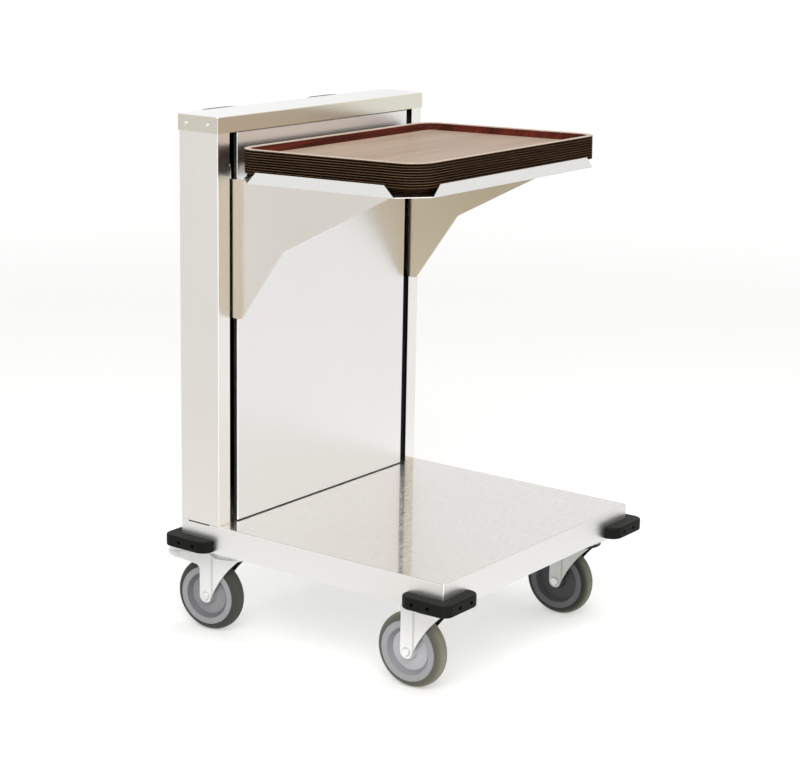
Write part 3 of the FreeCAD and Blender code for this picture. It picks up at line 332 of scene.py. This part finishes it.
CREASE_MIDDLE = 0.0129
CREASE_CORE = 0.0004
CREASE_HALF = 0.0028
CROWN_HEIGHT = 0.1330
CROWN_FADE = 0.001
CROWN_SHADE = {"front_left": 0.0, "front_right": 1.0, "rear_left": 0.0, "rear_right": 0.0}
FORK_SHADE = {"front_left": 0.0, "front_right": 0.5, "rear_left": 0.0, "rear_right": 0.2}
INSIDE_FACE = -0.010
OUTSIDE_FACE = -0.003
HEAD_EDGE = 0.0066
HEAD_SOFT = 0.0006
HEAD_RING = 0.0018
ZINC_SHADE = (0.44, 0.46, 0.41, 1.0)
CREASE_SHADE_GREY = (0.42, 0.42, 0.37, 1.0)
FORK_INSIDE_SHADE = (0.022, 0.022, 0.019, 1.0)
UP = Vector((0.0, 0.0, 1.0))
for castor in CORNERS:
    fork_zinc = new_finish("castor_fork_zinc_" + castor)
    place = fork_zinc.place()
    radius, along = from_axle(fork_zinc, castor)
    middle, axle = wheel_axis(castor)
    ahead = fork_zinc.dot(fork_zinc.vector("SUBTRACT", tuple(middle), place), tuple(UP.cross(axle)))
    milk = fork_zinc.noise(place, (24.0, 24.0, 17.0), 4.0)
    # Painted shade along the crease beside each strip
    crease = 1.0 - fork_zinc.between(abs(ahead - CREASE_MIDDLE), CREASE_CORE, CREASE_HALF)
    # Painted shade in a ring round the axle head
    head_ring_shade = fork_zinc.between(radius, HEAD_EDGE - HEAD_SOFT, HEAD_EDGE) \
        * (1.0 - fork_zinc.between(radius, HEAD_EDGE + HEAD_SOFT, HEAD_EDGE + HEAD_RING))
    # Painted shade on the inner faces of the legs and on the front right crown
    outward = fork_zinc.dot(fork_zinc.facing(), tuple(axle)) * along
    turned_out = fork_zinc.between(outward, INSIDE_FACE, OUTSIDE_FACE)
    in_crown = fork_zinc.between(fork_zinc.part_of(place, "Z"), CROWN_HEIGHT, CROWN_HEIGHT + CROWN_FADE)
    unshaded = turned_out * (1.0 - in_crown * CROWN_SHADE[castor])
    bright = fork_zinc.blend(milk, (0.985, 0.985, 0.98, 1.0), (0.93, 0.935, 0.93, 1.0))
    # The right forks are painted darker, as painted shade
    bright = fork_zinc.blend(FORK_SHADE[castor], bright, ZINC_SHADE)
    creased = fork_zinc.blend(crease * 0.45 + head_ring_shade * 0.6, bright, CREASE_SHADE_GREY)
    link(fork_zinc,
         Base_Color=fork_zinc.blend(unshaded, FORK_INSIDE_SHADE, creased),
         Metallic=turned_out * 0.25,
         Roughness=0.46 - turned_out * 0.12 + milk * 0.10,
         Normal=fork_zinc.bump(milk, 0.05, 0.0004))
    dress(fork_zinc, "castor_fork_" + castor)
    if castor.startswith("rear"):
        dress(fork_zinc, "brake_pedal_" + castor)
axle_zinc = new_finish("castor_axle_zinc", Metallic=0.35)
axle_milk = axle_zinc.noise(axle_zinc.place(), (90.0, 90.0, 90.0), 3.0)
link(axle_zinc,
     Base_Color=axle_zinc.blend(axle_milk, (0.95, 0.955, 0.95, 1.0), (0.82, 0.83, 0.82, 1.0)),
     Roughness=0.24 + axle_milk * 0.12)
for castor in CORNERS:
    dress(axle_zinc, "castor_axle_" + castor)


# Wheel centres: moulded grey plastic with a flat ring, a sloped step and a thin disc round the hub.
# Fine rings from the mould show on the faces, and painted shade darkens the step.
# Painted shade darkens the front right wheel most and the rear ones less, and the disc is painted lighter
# than the ring, as painted light in its recess.
RING_SHADE_SHARE = {"front_left": 0.0, "front_right": 0.80, "rear_left": 0.05, "rear_right": 0.3}
DISC_SHADE_SHARE = {"front_left": 0.0, "front_right": 0.95, "rear_left": 0.45, "rear_right": 0.5}
DISC_SHADE_GREY = (0.022, 0.0225, 0.024, 1.0)
RING_SHADE_GREY = (0.05, 0.05, 0.054, 1.0)
STEP_SHADE = (0.10, 0.105, 0.12, 1.0)
STEP_INNER = 0.0335
STEP_OUTER = 0.0402
RING_FADE = (-0.0006, 0.0004)
STEP_FADE = (-0.0012, 0.0008)
MOULD_RINGS = 5200.0
for castor in CORNERS:
    plastic = new_finish("wheel_grey_plastic_" + castor, Specular_IOR_Level=0.45)
    radius = from_axle(plastic, castor)[0]
    place = plastic.place()
    mottle = plastic.noise(place, (70.0, 70.0, 70.0), 5.0)
    grain = plastic.noise(place, (1100.0, 1100.0, 1100.0))
    on_ring = plastic.between(radius, STEP_OUTER + RING_FADE[0], STEP_OUTER + RING_FADE[1])
    past_disc = plastic.between(radius, STEP_INNER + STEP_FADE[0], STEP_INNER + STEP_FADE[1])
    in_step = past_disc * (1.0 - on_ring)
    rings = plastic.node("ShaderNodeMath", {"operation": "SINE"}, {0: radius * MOULD_RINGS})
    # The disc is painted a lighter grey than the ring, as painted light in its recess
    body_grey = plastic.blend(mottle, (0.56, 0.565, 0.59, 1.0), (0.635, 0.64, 0.665, 1.0))
    ring_grey = plastic.blend(mottle, (0.385, 0.38, 0.40, 1.0), (0.45, 0.445, 0.46, 1.0))
    # Painted shade for each castor's wheel
    body_grey = plastic.blend(DISC_SHADE_SHARE[castor], body_grey, DISC_SHADE_GREY)
    ring_grey = plastic.blend(RING_SHADE_SHARE[castor], ring_grey, RING_SHADE_GREY)
    # Painted shade darkens the step
    with_step = plastic.blend(in_step * 0.55, body_grey, STEP_SHADE)
    link(plastic,
         Base_Color=plastic.blend(on_ring, with_step, ring_grey),
         Roughness=0.40 + mottle * 0.14 + (grain - 0.5) * 0.08,
         Normal=plastic.bump(grain * 0.25 + rings * 0.10, 0.12, 0.0004))
    dress(plastic, "wheel_centre_" + castor)


# Tyres: non-marking grey rubber moulded on the wheel centres, with a round tread.
# The tread is rubbed to a dusty olive grey where it rolls; how much shows on each castor is partly dust and
# partly painted shade, most at the front left. The side walls stay darker, and painted shade darkens them
# further, most at the front right.
DUST_AND_SHADE = {"front_left": 1.0, "front_right": 0.75, "rear_left": 0.08, "rear_right": 0.2}
TREAD_CORE = 0.004
TREAD_EDGE = 0.0145
TREAD_OLIVE = (0.34, 0.335, 0.25, 1.0)
WALL_SHADE_GREY = (0.012, 0.0125, 0.010, 1.0)
WALL_SHADE_SHARE = {"front_left": 0.0, "front_right": 0.92, "rear_left": 0.62, "rear_right": 0.6}
for castor in CORNERS:
    tread = new_finish("tyre_grey_rubber_" + castor, Specular_IOR_Level=0.35)
    along = from_axle(tread, castor)[1]
    place = tread.place()
    dust = tread.noise(place, (60.0, 60.0, 45.0), 6.0)
    crumbs = tread.noise(place, (750.0, 750.0, 750.0))
    # The share of olive on each castor is partly dust and partly painted shade
    rolled = (1.0 - tread.between(abs(along), TREAD_CORE, TREAD_EDGE)) * (0.55 + dust * 0.6) * DUST_AND_SHADE[castor]
    wall = tread.blend(dust, (0.11, 0.112, 0.09, 1.0), (0.16, 0.162, 0.13, 1.0))
    # Painted shade darkens the side walls, most at the front right
    wall = tread.blend(WALL_SHADE_SHARE[castor], wall, WALL_SHADE_GREY)
    link(tread,
         Base_Color=tread.blend(rolled, wall, TREAD_OLIVE),
         Roughness=0.62 + dust * 0.20,
         Normal=tread.bump(crumbs * 0.6 + dust * 0.4, 0.25, 0.0006))
    dress(tread, "tyre_" + castor)


# Column posts: folded stainless channels welded upright on the deck, their open sides facing each other.
# Their feet are welded at the ends, with the front bead in view, and the right front flange is polished
# smoother. The flanges facing front are painted lighter, as painted light, and the inner faces of the sheet
# are painted dark, as painted shade inside the column.
INSIDE_SHADE_TONE = (0.13, 0.125, 0.115, 1.0)
FLANGE_LIGHT_TONE = (0.99, 0.965, 0.92, 1.0)
FLANGE_POLISH = 0.16
SHEET_SKIN = 0.0004
SHEET_THROUGH = 0.0011
post_steel = ground_steel("post_ground_steel", (0.92, 0.89, 0.84, 1.0),
                          (0.88, 0.85, 0.80, 1.0), 0.30, ALONG_Z)
post_place = post_steel.place()
faces_front = post_steel.between(post_steel.part_of(post_steel.facing(), "Y"), -FACES_FROM, -FACES_FULL)
# The front-facing flanges are painted lighter, as painted light
post_tone = post_steel.blend(faces_front, post_steel.tone, FLANGE_LIGHT_TONE)
on_right = post_steel.between(post_steel.part_of(post_place, "X"), -0.01, 0.01)
deep_in_x = -post_low.x - abs(post_steel.part_of(post_place, "X"))
along_post = post_steel.part_of(post_place, "Y")
# The channel's inner faces are painted dark, as painted shade inside the column
inside_post = post_steel.between(deep_in_x, SHEET_SKIN, SHEET_THROUGH)
for depth in (along_post - post_low.y, post_high.y - along_post):
    inside_post = post_steel.between(depth, SHEET_SKIN, SHEET_THROUGH) * inside_post
link(post_steel,
     Base_Color=post_steel.blend(inside_post, post_tone, INSIDE_SHADE_TONE),
     Roughness=post_steel.dulled - faces_front * on_right * FLANGE_POLISH)
dress(post_steel, "post_left", "post_right")

weld_steel = new_finish("weld_bead_steel", Metallic=1.0)
weld_heat = weld_steel.noise(weld_steel.place(), (130.0, 130.0, 130.0), 4.0)
link(weld_steel,
     Base_Color=weld_steel.blend(weld_heat, (0.66, 0.62, 0.54, 1.0), (0.42, 0.36, 0.29, 1.0)),
     Roughness=0.32 + weld_heat * 0.18,
     Normal=weld_steel.bump(weld_heat, 0.2, 0.0005))
BEAD_RADIUS = 0.0013
BEAD_RIPPLE = 0.0004
BEAD_PITCH = 0.0016
BEAD_SIDES = 8
BEAD_START = 0.004


def weld_bead(name, corners):
    """A rippled bead laid along a line of corners, half sunk in the joint that it closes."""
    mesh = bmesh.new()
    for start, end in zip(corners, corners[1:]):
        way = (end - start).normalized()
        side = way.cross(Vector((0.0, 0.0, 1.0)))
        up = side.cross(way)
        steps = max(2, round((end - start).length / (BEAD_PITCH / 4)))
        rings = []
        for step in range(steps + 1):
            middle = start.lerp(end, step / steps)
            swell = BEAD_RADIUS + BEAD_RIPPLE * math.sin(step * math.pi / 2)
            ring = []
            for corner in range(BEAD_SIDES):
                angle = 2 * math.pi * corner / BEAD_SIDES
                outward = side * math.cos(angle) + up * math.sin(angle)
                ring.append(mesh.verts.new(middle + swell * outward))
            rings.append(ring)
        for first, second in zip(rings, rings[1:]):
            for corner in range(BEAD_SIDES):
                after = (corner + 1) % BEAD_SIDES
                mesh.faces.new((first[corner], first[after], second[after], second[corner]))
        mesh.faces.new(rings[0][::-1])
        mesh.faces.new(rings[-1])
    data = bpy.data.meshes.new(name)
    mesh.normal_update()
    mesh.to_mesh(data)
    mesh.free()
    for face in data.polygons:
        face.use_smooth = True
    bead = bpy.data.objects.new(name, data)
    bpy.context.scene.collection.objects.link(bead)
    bead.data.materials.append(weld_steel.material)
    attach(bead, "frame")


for side_name, side in (("left", -1), ("right", 1)):
    post_low, post_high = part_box("post_" + side_name)
    outer = post_low.x if side < 0 else post_high.x
    inner = post_high.x if side < 0 else post_low.x
    foot = post_low.z
    weld_bead("post_weld_" + side_name, [
        Vector((outer - side * BEAD_START, post_low.y, foot)), Vector((inner, post_low.y, foot)),
    ])


# Cap: a shallow lid folded from duller stainless sheet, pressed over both posts.
# Two blind rivets with low bright heads hold each end.
cap_steel = ground_steel("cap_ground_steel", (0.88, 0.86, 0.74, 1.0), (0.83, 0.81, 0.69, 1.0), 0.22,
                         ALONG_X, ALONG_Y)
CAP_END_SHADE = (0.74, 0.695, 0.61, 1.0)
CAP_TOP_LIGHT = (0.95, 0.945, 0.94, 1.0)
# The end faces are painted darker and the top lighter, as painted shade and painted light
cap_end = cap_steel.between(abs(cap_steel.part_of(cap_steel.facing(), "X")), FACES_FROM, FACES_FULL)
cap_tone = cap_steel.blend(cap_end, cap_steel.tone, CAP_END_SHADE)
link(cap_steel, Base_Color=cap_steel.blend(cap_steel.faces_up, cap_tone, CAP_TOP_LIGHT))
dress(cap_steel, "column_cap")
rivet_steel = new_finish("rivet_bright_steel", Metallic=1.0)
rivet_marks = rivet_steel.noise(rivet_steel.place(), (500.0, 500.0, 500.0), 3.0)
link(rivet_steel,
     Base_Color=rivet_steel.blend(rivet_marks, (0.90, 0.90, 0.88, 1.0), (0.74, 0.74, 0.72, 1.0)),
     Roughness=0.14 + rivet_marks * 0.14,
     Normal=rivet_steel.bump(rivet_marks, 0.1, 0.0003))
dress(rivet_steel, "cap_rivets")


# Front panel: a shallow stainless pan between the posts, ground upright, with a slot left on each side.
# It stands a little proud of the posts and mirrors the trays and the deck softly.
panel_steel = ground_steel("panel_ground_steel", (1.0, 0.99, 0.975, 1.0),
                           (0.97, 0.96, 0.94, 1.0), 0.33, ALONG_Z)
panel_back = panel_steel.between(panel_steel.part_of(panel_steel.facing(), "Y"), FACES_FROM, FACES_FULL)
# The back face is painted dark, as painted shade inside the column
link(panel_steel, Base_Color=panel_steel.blend(panel_back, panel_steel.tone, INSIDE_SHADE_TONE))
dress(panel_steel, "front_panel")


# Rear panel: a flat stainless sheet that closes the column behind, welded inside the posts' rear flanges.
# It is duller than the front panel, and its inside face is painted dark as painted shade, as the posts'
# are.
rear_steel = ground_steel("rear_panel_steel", (0.76, 0.74, 0.70, 1.0),
                          (0.71, 0.69, 0.64, 1.0), 0.24, ALONG_Z)
rear_inside = rear_steel.between(rear_steel.part_of(rear_steel.facing(), "Y"), -FACES_FROM, -FACES_FULL)
link(rear_steel, Base_Color=rear_steel.blend(rear_inside, rear_steel.tone, INSIDE_SHADE_TONE))
dress(rear_steel, "rear_panel")


# Column inside: cross member, foot and guide rails of galvanised sheet that never see a polish.
# The rails are welded in the posts; the foot carries two rubber stops for the carriage.
inner_zinc = zinc_coat("column_galvanised_sheet", (0.22, 0.22, 0.215, 1.0),
                       (0.14, 0.14, 0.138, 1.0), 0.42, 150.0)
dress(inner_zinc, "top_cross_member", "column_foot", "guide_rail_left", "guide_rail_right")
stop_rubber = new_finish("stop_black_rubber", Specular_IOR_Level=0.35)
stop_bloom = stop_rubber.noise(stop_rubber.place(), (120.0, 120.0, 120.0), 4.0)
link(stop_rubber,
     Base_Color=stop_rubber.blend(stop_bloom, (0.016, 0.016, 0.016, 1.0), (0.04, 0.04, 0.038, 1.0)),
     Roughness=0.55 + stop_bloom * 0.25,
     Normal=stop_rubber.bump(stop_bloom, 0.2, 0.0006))
dress(stop_rubber, "stop_buffers")


# Gussets and carriage plate: stainless plates cut to shape, the gussets coming out through the slots.
# They are ground from back to front and keep a warm, slightly cloudy tone; the right gusset is painted
# darker and warmer, as painted shade.
gusset_steel = ground_steel("gusset_ground_steel", (0.85, 0.81, 0.75, 1.0),
                            (0.80, 0.755, 0.69, 1.0), 0.22, ALONG_Y)
dress(gusset_steel, "gusset_left", "carriage_plate")
shaded_steel = ground_steel("gusset_right_shaded_steel", (0.71, 0.65, 0.53, 1.0),
                            (0.66, 0.60, 0.48, 1.0), 0.24, ALONG_Y)
dress(shaded_steel, "gusset_right")


# Spring gear: drawn bars, roller pins and three tension springs of bright wire, lightly oiled.
# The springs hang from the top bar and stretch in use as the carriage pulls the bottom bar down; here each
# is a fixed copy of its part, and the part itself is hidden.
# Four white plastic rollers on the pins keep the carriage true in its rails.
wire_steel = new_finish("oiled_spring_steel", Metallic=1.0)
oil = wire_steel.noise(wire_steel.place(), (85.0, 85.0, 85.0), 5.0)
link(wire_steel,
     Base_Color=wire_steel.blend(oil, (0.56, 0.55, 0.52, 1.0), (0.30, 0.285, 0.26, 1.0)),
     Roughness=0.22 + oil * 0.24,
     Normal=wire_steel.bump(wire_steel.noise(wire_steel.place(), (900.0, 900.0, 900.0)), 0.08, 0.0003))
SPRINGS = ("tension_spring_left", "tension_spring_middle", "tension_spring_right")
dress(wire_steel, "spring_bar_top", "spring_bar_bottom", "roller_pins", *SPRINGS)
for spring_name in SPRINGS:
    solid = frame["nodes"][spring_name]
    spring = bpy.data.objects.new(spring_name.replace("tension", "stretching"), solid.data.copy())
    bpy.context.scene.collection.objects.link(spring)
    spring.matrix_world = solid.matrix_world
    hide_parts(spring_name)
    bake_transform(spring)
roller_plastic = new_finish("roller_white_plastic", Specular_IOR_Level=0.5)
roller_wear = roller_plastic.noise(roller_plastic.place(), (150.0, 420.0, 420.0), 4.0)
link(roller_plastic,
     Base_Color=roller_plastic.blend(roller_wear, (0.78, 0.77, 0.73, 1.0), (0.62, 0.60, 0.54, 1.0)),
     Roughness=0.38 + roller_wear * 0.2,
     Normal=roller_plastic.bump(roller_wear, 0.1, 0.0004))
for level_name in ("low", "high"):
    dress(roller_plastic, "guide_roller_" + level_name + "_left", "guide_roller_" + level_name + "_right")


# Tray platform: a stainless plate with four low flanges folded up, their ends cut on a slant.
# It rests on the gussets' arms and is ground in the same fine lines as the deck.
platform_steel = ground_steel("platform_ground_steel", (0.97, 0.965, 0.945, 1.0),
                              (0.93, 0.92, 0.90, 1.0), 0.28, FINE_ALONG_X, FINE_ALONG_Y, FINE_RELIEF)
dress(platform_steel, "tray_platform")


# Trays: mahogany veneer pressed with resin into one hard sheet, flared at the sides and turned out at the
# rim. The faces are lacquered satin, and the flat floors are painted a lighter tan, a painted sheen. The
# stacked edges show a pale line between dark bands, partly plies and partly painted highlight, with painted
# shade in the gaps; the top rim is painted pale, a painted highlight.
PLATE_MIDDLE = (0.0, -0.0313, 0.7826)
PLATE_NORMAL = tuple(joints["top_tray_lift"]["axis"])
PLATE_METAL = 0.0015
TRAY_STEP = 0.004
TRAY_COUNT = 10
RIM_BASE = 0.0122
RIM_TOP = 0.0151
RIM_FADE_START = 0.0014
RIM_FADE_END = 0.0006
EDGE_FADE_START = 0.0032
EDGE_FADE_END = 0.0018
PORE_DARK = (0.015, 0.0035, 0.002, 1.0)
EDGE_DARK = (0.010, 0.006, 0.004, 1.0)
EDGE_WEAR = 0.35
laminate = new_finish("tray_mahogany_laminate", Specular_IOR_Level=0.0, Coat_Roughness=0.34)
place = laminate.place()
from_plate = laminate.vector("SUBTRACT", place, PLATE_MIDDLE)
height = laminate.dot(from_plate, PLATE_NORMAL)
up = laminate.dot(laminate.facing(), PLATE_NORMAL)
looks_up = laminate.between(up, 0.25, 0.45)
lies_flat = laminate.between(up, 0.80, 0.97)
streaks = laminate.noise(place, (7.0, 210.0, 90.0), 5.0)
bands = laminate.noise(place, (3.0, 34.0, 14.0), 3.0)
pores = laminate.between(laminate.noise(place, (60.0, 1500.0, 1500.0), 2.0), 0.62, 0.75)
stripes = laminate.between(bands * 0.6 + streaks * 0.4, 0.35, 0.65)
veneer = laminate.blend(stripes, (0.026, 0.0022, 0.0012, 1.0), (0.115, 0.0105, 0.0045, 1.0))
veneer = laminate.blend(pores * 0.5, veneer, PORE_DARK)
# The flat floors get a lighter tan, a painted sheen
painted_sheen = laminate.blend(stripes, (0.36, 0.248, 0.172, 1.0), (0.44, 0.325, 0.243, 1.0))
inside = laminate.blend(lies_flat, veneer, painted_sheen)
ply = laminate.node("ShaderNodeMath", {"operation": "FRACT"},
                    {0: (height - (PLATE_METAL + RIM_BASE)) / TRAY_STEP})
# Each stacked edge: a pale line between dark bands, partly plies and partly painted highlight, and painted
# shade in the gaps
edge_plies_light_and_shade = laminate.node("ShaderNodeValToRGB", {"stops": [
    (0.0, (0.004, 0.0024, 0.0016, 1.0)),
    (0.22, (0.008, 0.005, 0.003, 1.0)),
    (0.38, (0.27, 0.155, 0.085, 1.0)),
    (0.54, (0.012, 0.0075, 0.0045, 1.0)),
    (0.74, (0.004, 0.0024, 0.0016, 1.0)),
]}, {"Fac": ply})
wear = laminate.noise(place, (11.0, 11.0, 420.0), 3.0)
edge_plies_light_and_shade = laminate.blend(laminate.between(wear, 0.30, 0.62) * EDGE_WEAR, edge_plies_light_and_shade, EDGE_DARK)
top_rim = PLATE_METAL + TRAY_STEP * (TRAY_COUNT - 1) + RIM_TOP
on_rim = laminate.between(height, top_rim - RIM_FADE_START, top_rim - RIM_FADE_END)
# The top rim is painted pale, as a painted highlight
rim_highlight_tone = laminate.blend(streaks, (0.46, 0.36, 0.28, 1.0), (0.66, 0.56, 0.48, 1.0))
# The rounded outer edge of every rim is cut, so it shows the plies, painted highlight and painted shade as
# well
tray_low, tray_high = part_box("tray_stack")
TRAY_CORNER = 0.04
beyond_side = abs(laminate.part_of(place, "X")) - (tray_high.x - TRAY_CORNER)
tray_middle = (tray_low.y + tray_high.y) / 2
beyond_end = abs(laminate.part_of(place, "Y") - tray_middle) - (tray_high.y - tray_middle - TRAY_CORNER)
past_side = laminate.node("ShaderNodeMath", {"operation": "MAXIMUM"}, {0: beyond_side, 1: 0.0})
past_end = laminate.node("ShaderNodeMath", {"operation": "MAXIMUM"}, {0: beyond_end, 1: 0.0})
past_both = past_side * past_side + past_end * past_end
from_corner = laminate.node("ShaderNodeMath", {"operation": "SQRT"}, {0: past_both})
on_edge = laminate.between(from_corner, TRAY_CORNER - EDGE_FADE_START, TRAY_CORNER - EDGE_FADE_END)
faces = laminate.blend(looks_up * (1.0 - on_edge), edge_plies_light_and_shade, inside)
link(laminate,
     Base_Color=laminate.blend(on_rim * looks_up, faces, rim_highlight_tone),
     Roughness=0.40 + (streaks - 0.5) * 0.14 + (1.0 - looks_up) * 0.18,
     Coat_Weight=lies_flat * 0.55,
     Normal=laminate.bump(streaks * 0.4 + pores * 0.6, 0.08, 0.0004))
dress(laminate, "top_tray", "tray_stack")


# Rear handles: two black plastic bows screwed to the back fold of the cap, to push the trolley by.
# They have a fine moulded grain, and hands have rubbed them in soft patches.
handle_plastic = new_finish("handle_black_plastic", Specular_IOR_Level=0.5)
handle_place = handle_plastic.place()
handle_grain = handle_plastic.noise(handle_place, (1000.0, 1000.0, 1000.0))
handle_touch = handle_plastic.noise(handle_place, (45.0, 45.0, 45.0), 4.0)
link(handle_plastic,
     Base_Color=handle_plastic.blend(handle_touch, (0.018, 0.018, 0.019, 1.0), (0.032, 0.031, 0.031, 1.0)),
     Roughness=0.36 + handle_touch * 0.18,
     Normal=handle_plastic.bump(handle_grain, 0.15, 0.0004))
dress(handle_plastic, "rear_handle_left", "rear_handle_right")


# Studio: a wide pale floor under an even white surround, one broad soft lamp high on the left
# and a wide one above. Mirrors see a bright strip of floor, a dim warm one, and two dim parts of the room.
# The camera stands where the photograph was taken.
FLOOR_HALF = 30.0
FLOOR_NEAR = 2.0
FLOOR_FAR = 6.0
GLOW_NEAR = 0.36
GLOW_FAR = 0.22
DIMMED_NEAR = 0.5
DIMMED_FAR = 1.4
WAY_SOFT = 0.94
WAY_FULL = 0.985
BLACK = (0.0, 0.0, 0.0, 1.0)
WHITE = (1.0, 1.0, 1.0, 1.0)
floor_mesh = bmesh.new()
bmesh.ops.create_grid(floor_mesh, x_segments=8, y_segments=8, size=FLOOR_HALF)
floor_data = bpy.data.meshes.new("studio_floor")
floor_mesh.to_mesh(floor_data)
floor_mesh.free()
floor = bpy.data.objects.new("studio_floor", floor_data)
bpy.context.scene.collection.objects.link(floor)

MIRRORED_NEAR = 1.0
MIRRORED_FAR = 0.85
MIRRORED_STREAK = 1.7
STREAK_START = (-0.27, 0.1, 0.0)
STREAK_WAY = (-0.4, -0.917, 0.0)
DIM_WAY = (-0.81, -0.586, 0.0)
DIM_TONE = (0.52, 0.45, 0.34, 1.0)
floor_finish = new_finish("studio_pale_floor", Roughness=0.8, Emission_Strength=1.0)
floor_place = floor_finish.place()
floor_cloud = floor_finish.noise(floor_place, (1.5, 1.5, 1.5))
from_middle = floor_finish.node("ShaderNodeVectorMath", {"operation": "LENGTH"}, {0: floor_place}, "Value")
fade = floor_finish.between(from_middle, FLOOR_NEAR, FLOOR_FAR)
eye_ray = floor_finish.node("ShaderNodeLightPath", {}, {}, "Is Camera Ray")
mirror_ray = floor_finish.node("ShaderNodeLightPath", {}, {}, "Is Glossy Ray")
glow = (GLOW_NEAR + fade * GLOW_FAR) * eye_ray
link(floor_finish,
     Base_Color=floor_finish.blend(floor_cloud, (0.86, 0.855, 0.845, 1.0), (0.88, 0.875, 0.868, 1.0)),
     Emission_Color=floor_finish.blend(glow, BLACK, WHITE))
dimmed = floor_finish.between(from_middle, DIMMED_NEAR, DIMMED_FAR)
mirrored = floor_finish.blend(dimmed, (MIRRORED_NEAR, MIRRORED_NEAR, MIRRORED_NEAR, 1.0),
                              (MIRRORED_FAR, MIRRORED_FAR, MIRRORED_FAR, 1.0))
from_start = floor_finish.vector("SUBTRACT", floor_place, STREAK_START)
streak_way = floor_finish.node("ShaderNodeVectorMath", {"operation": "NORMALIZE"}, {0: from_start})
in_streak = floor_finish.between(floor_finish.dot(streak_way, STREAK_WAY), WAY_SOFT, WAY_FULL)
mirrored = floor_finish.blend(in_streak, mirrored, (MIRRORED_STREAK, MIRRORED_STREAK, MIRRORED_STREAK, 1.0))
in_dim = floor_finish.between(floor_finish.dot(streak_way, DIM_WAY), WAY_SOFT, WAY_FULL)
mirrored = floor_finish.blend(in_dim, mirrored, DIM_TONE)
mirrored_floor = floor_finish.node("ShaderNodeEmission", {}, {"Color": mirrored, "Strength": 1.0})
lit_floor = Tone(floor_finish, floor_finish.shader.outputs["BSDF"])
seen_floor = floor_finish.node("ShaderNodeMixShader", {}, {0: mirror_ray, 1: lit_floor, 2: mirrored_floor})
floor_finish.set(floor_finish.tree.nodes["Material Output"].inputs["Surface"], seen_floor)
floor.data.materials.append(floor_finish.material)

world = bpy.data.worlds.new("studio_surround")
world.use_nodes = True
bpy.context.scene.world = world
surround = Finish(world.node_tree)
background = world.node_tree.nodes["Background"]
MIRRORED_SKY = 0.97
HORIZON_LIGHT = 0.22
ZENITH_LIGHT = 0.55
direction = surround.node("ShaderNodeTexCoord", {}, {}, "Generated")
raised = surround.between(surround.part_of(direction, "Z"), 0.0, 0.8)
daylight = HORIZON_LIGHT + raised * (ZENITH_LIGHT - HORIZON_LIGHT)
ray_names = ("Is Camera Ray", "Is Glossy Ray", "Is Transmission Ray")
eye_ray, mirror_ray, glass_ray = [surround.node("ShaderNodeLightPath", {}, {}, name) for name in ray_names]
seen_by_eye = eye_ray + mirror_ray * MIRRORED_SKY + glass_ray
ROOM_WARM_WAY = (0.800, -0.528, 0.284)
ROOM_WARM_SOFT = 0.990
ROOM_WARM_FULL = 0.9976
ROOM_WARM_TONE = (0.50, 0.43, 0.32, 1.0)
ROOM_GREY_WAY = (0.803, 0.521, 0.289)
ROOM_GREY_SOFT = 0.986
ROOM_GREY_FULL = 0.996
ROOM_GREY_TONE = (0.81, 0.80, 0.785, 1.0)
warm_part = surround.between(surround.dot(direction, ROOM_WARM_WAY), ROOM_WARM_SOFT, ROOM_WARM_FULL)
grey_part = surround.between(surround.dot(direction, ROOM_GREY_WAY), ROOM_GREY_SOFT, ROOM_GREY_FULL)
room_tone = surround.blend(warm_part * mirror_ray, WHITE, ROOM_WARM_TONE)
room_tone = surround.blend(grey_part * mirror_ray, room_tone, ROOM_GREY_TONE)
surround.set(background.inputs["Color"], room_tone)
surround.set(background.inputs["Strength"], daylight + seen_by_eye * (1.0 - daylight))


def soft_lamp(name, place, aim, width, power, colour):
    lamp_data = bpy.data.lights.new(name, "AREA")
    lamp_data.shape = "DISK"
    lamp_data.size = width
    lamp_data.energy = power
    lamp_data.color = colour
    lamp = bpy.data.objects.new(name, lamp_data)
    lamp.location = place
    lamp.rotation_euler = (Vector(aim) - Vector(place)).to_track_quat("-Z", "Y").to_euler()
    bpy.context.scene.collection.objects.link(lamp)


soft_lamp("lamp_left", (-2.3, -1.5, 2.4), (0.0, 0.0, 0.45), 2.0, 58.0, (1.0, 0.99, 0.97))
soft_lamp("lamp_above", (0.4, -0.3, 3.2), (0.0, 0.0, 0.4), 2.6, 26.0, (1.0, 1.0, 1.0))

CAMERA_PLACE = (-2.744259, -1.997360, 1.253995)
CAMERA_AIM = (0.78484, 0.57272, -0.23667)
CAMERA_ROLL = math.radians(1.0485)
CAMERA_SENSOR = 36.0
CAMERA_LENS = 93.464
camera_data = bpy.data.cameras.new("photo_camera")
camera_data.sensor_width = CAMERA_SENSOR
camera_data.lens = CAMERA_LENS
camera = bpy.data.objects.new("photo_camera", camera_data)
camera.location = CAMERA_PLACE
camera.rotation_mode = "QUATERNION"
level_view = Vector(CAMERA_AIM).to_track_quat("-Z", "Y")
camera.rotation_quaternion = level_view @ Quaternion((0.0, 0.0, 1.0), CAMERA_ROLL)
bpy.context.scene.collection.objects.link(camera)
bpy.context.scene.camera = camera
bpy.context.scene.view_settings.view_transform = "Standard"
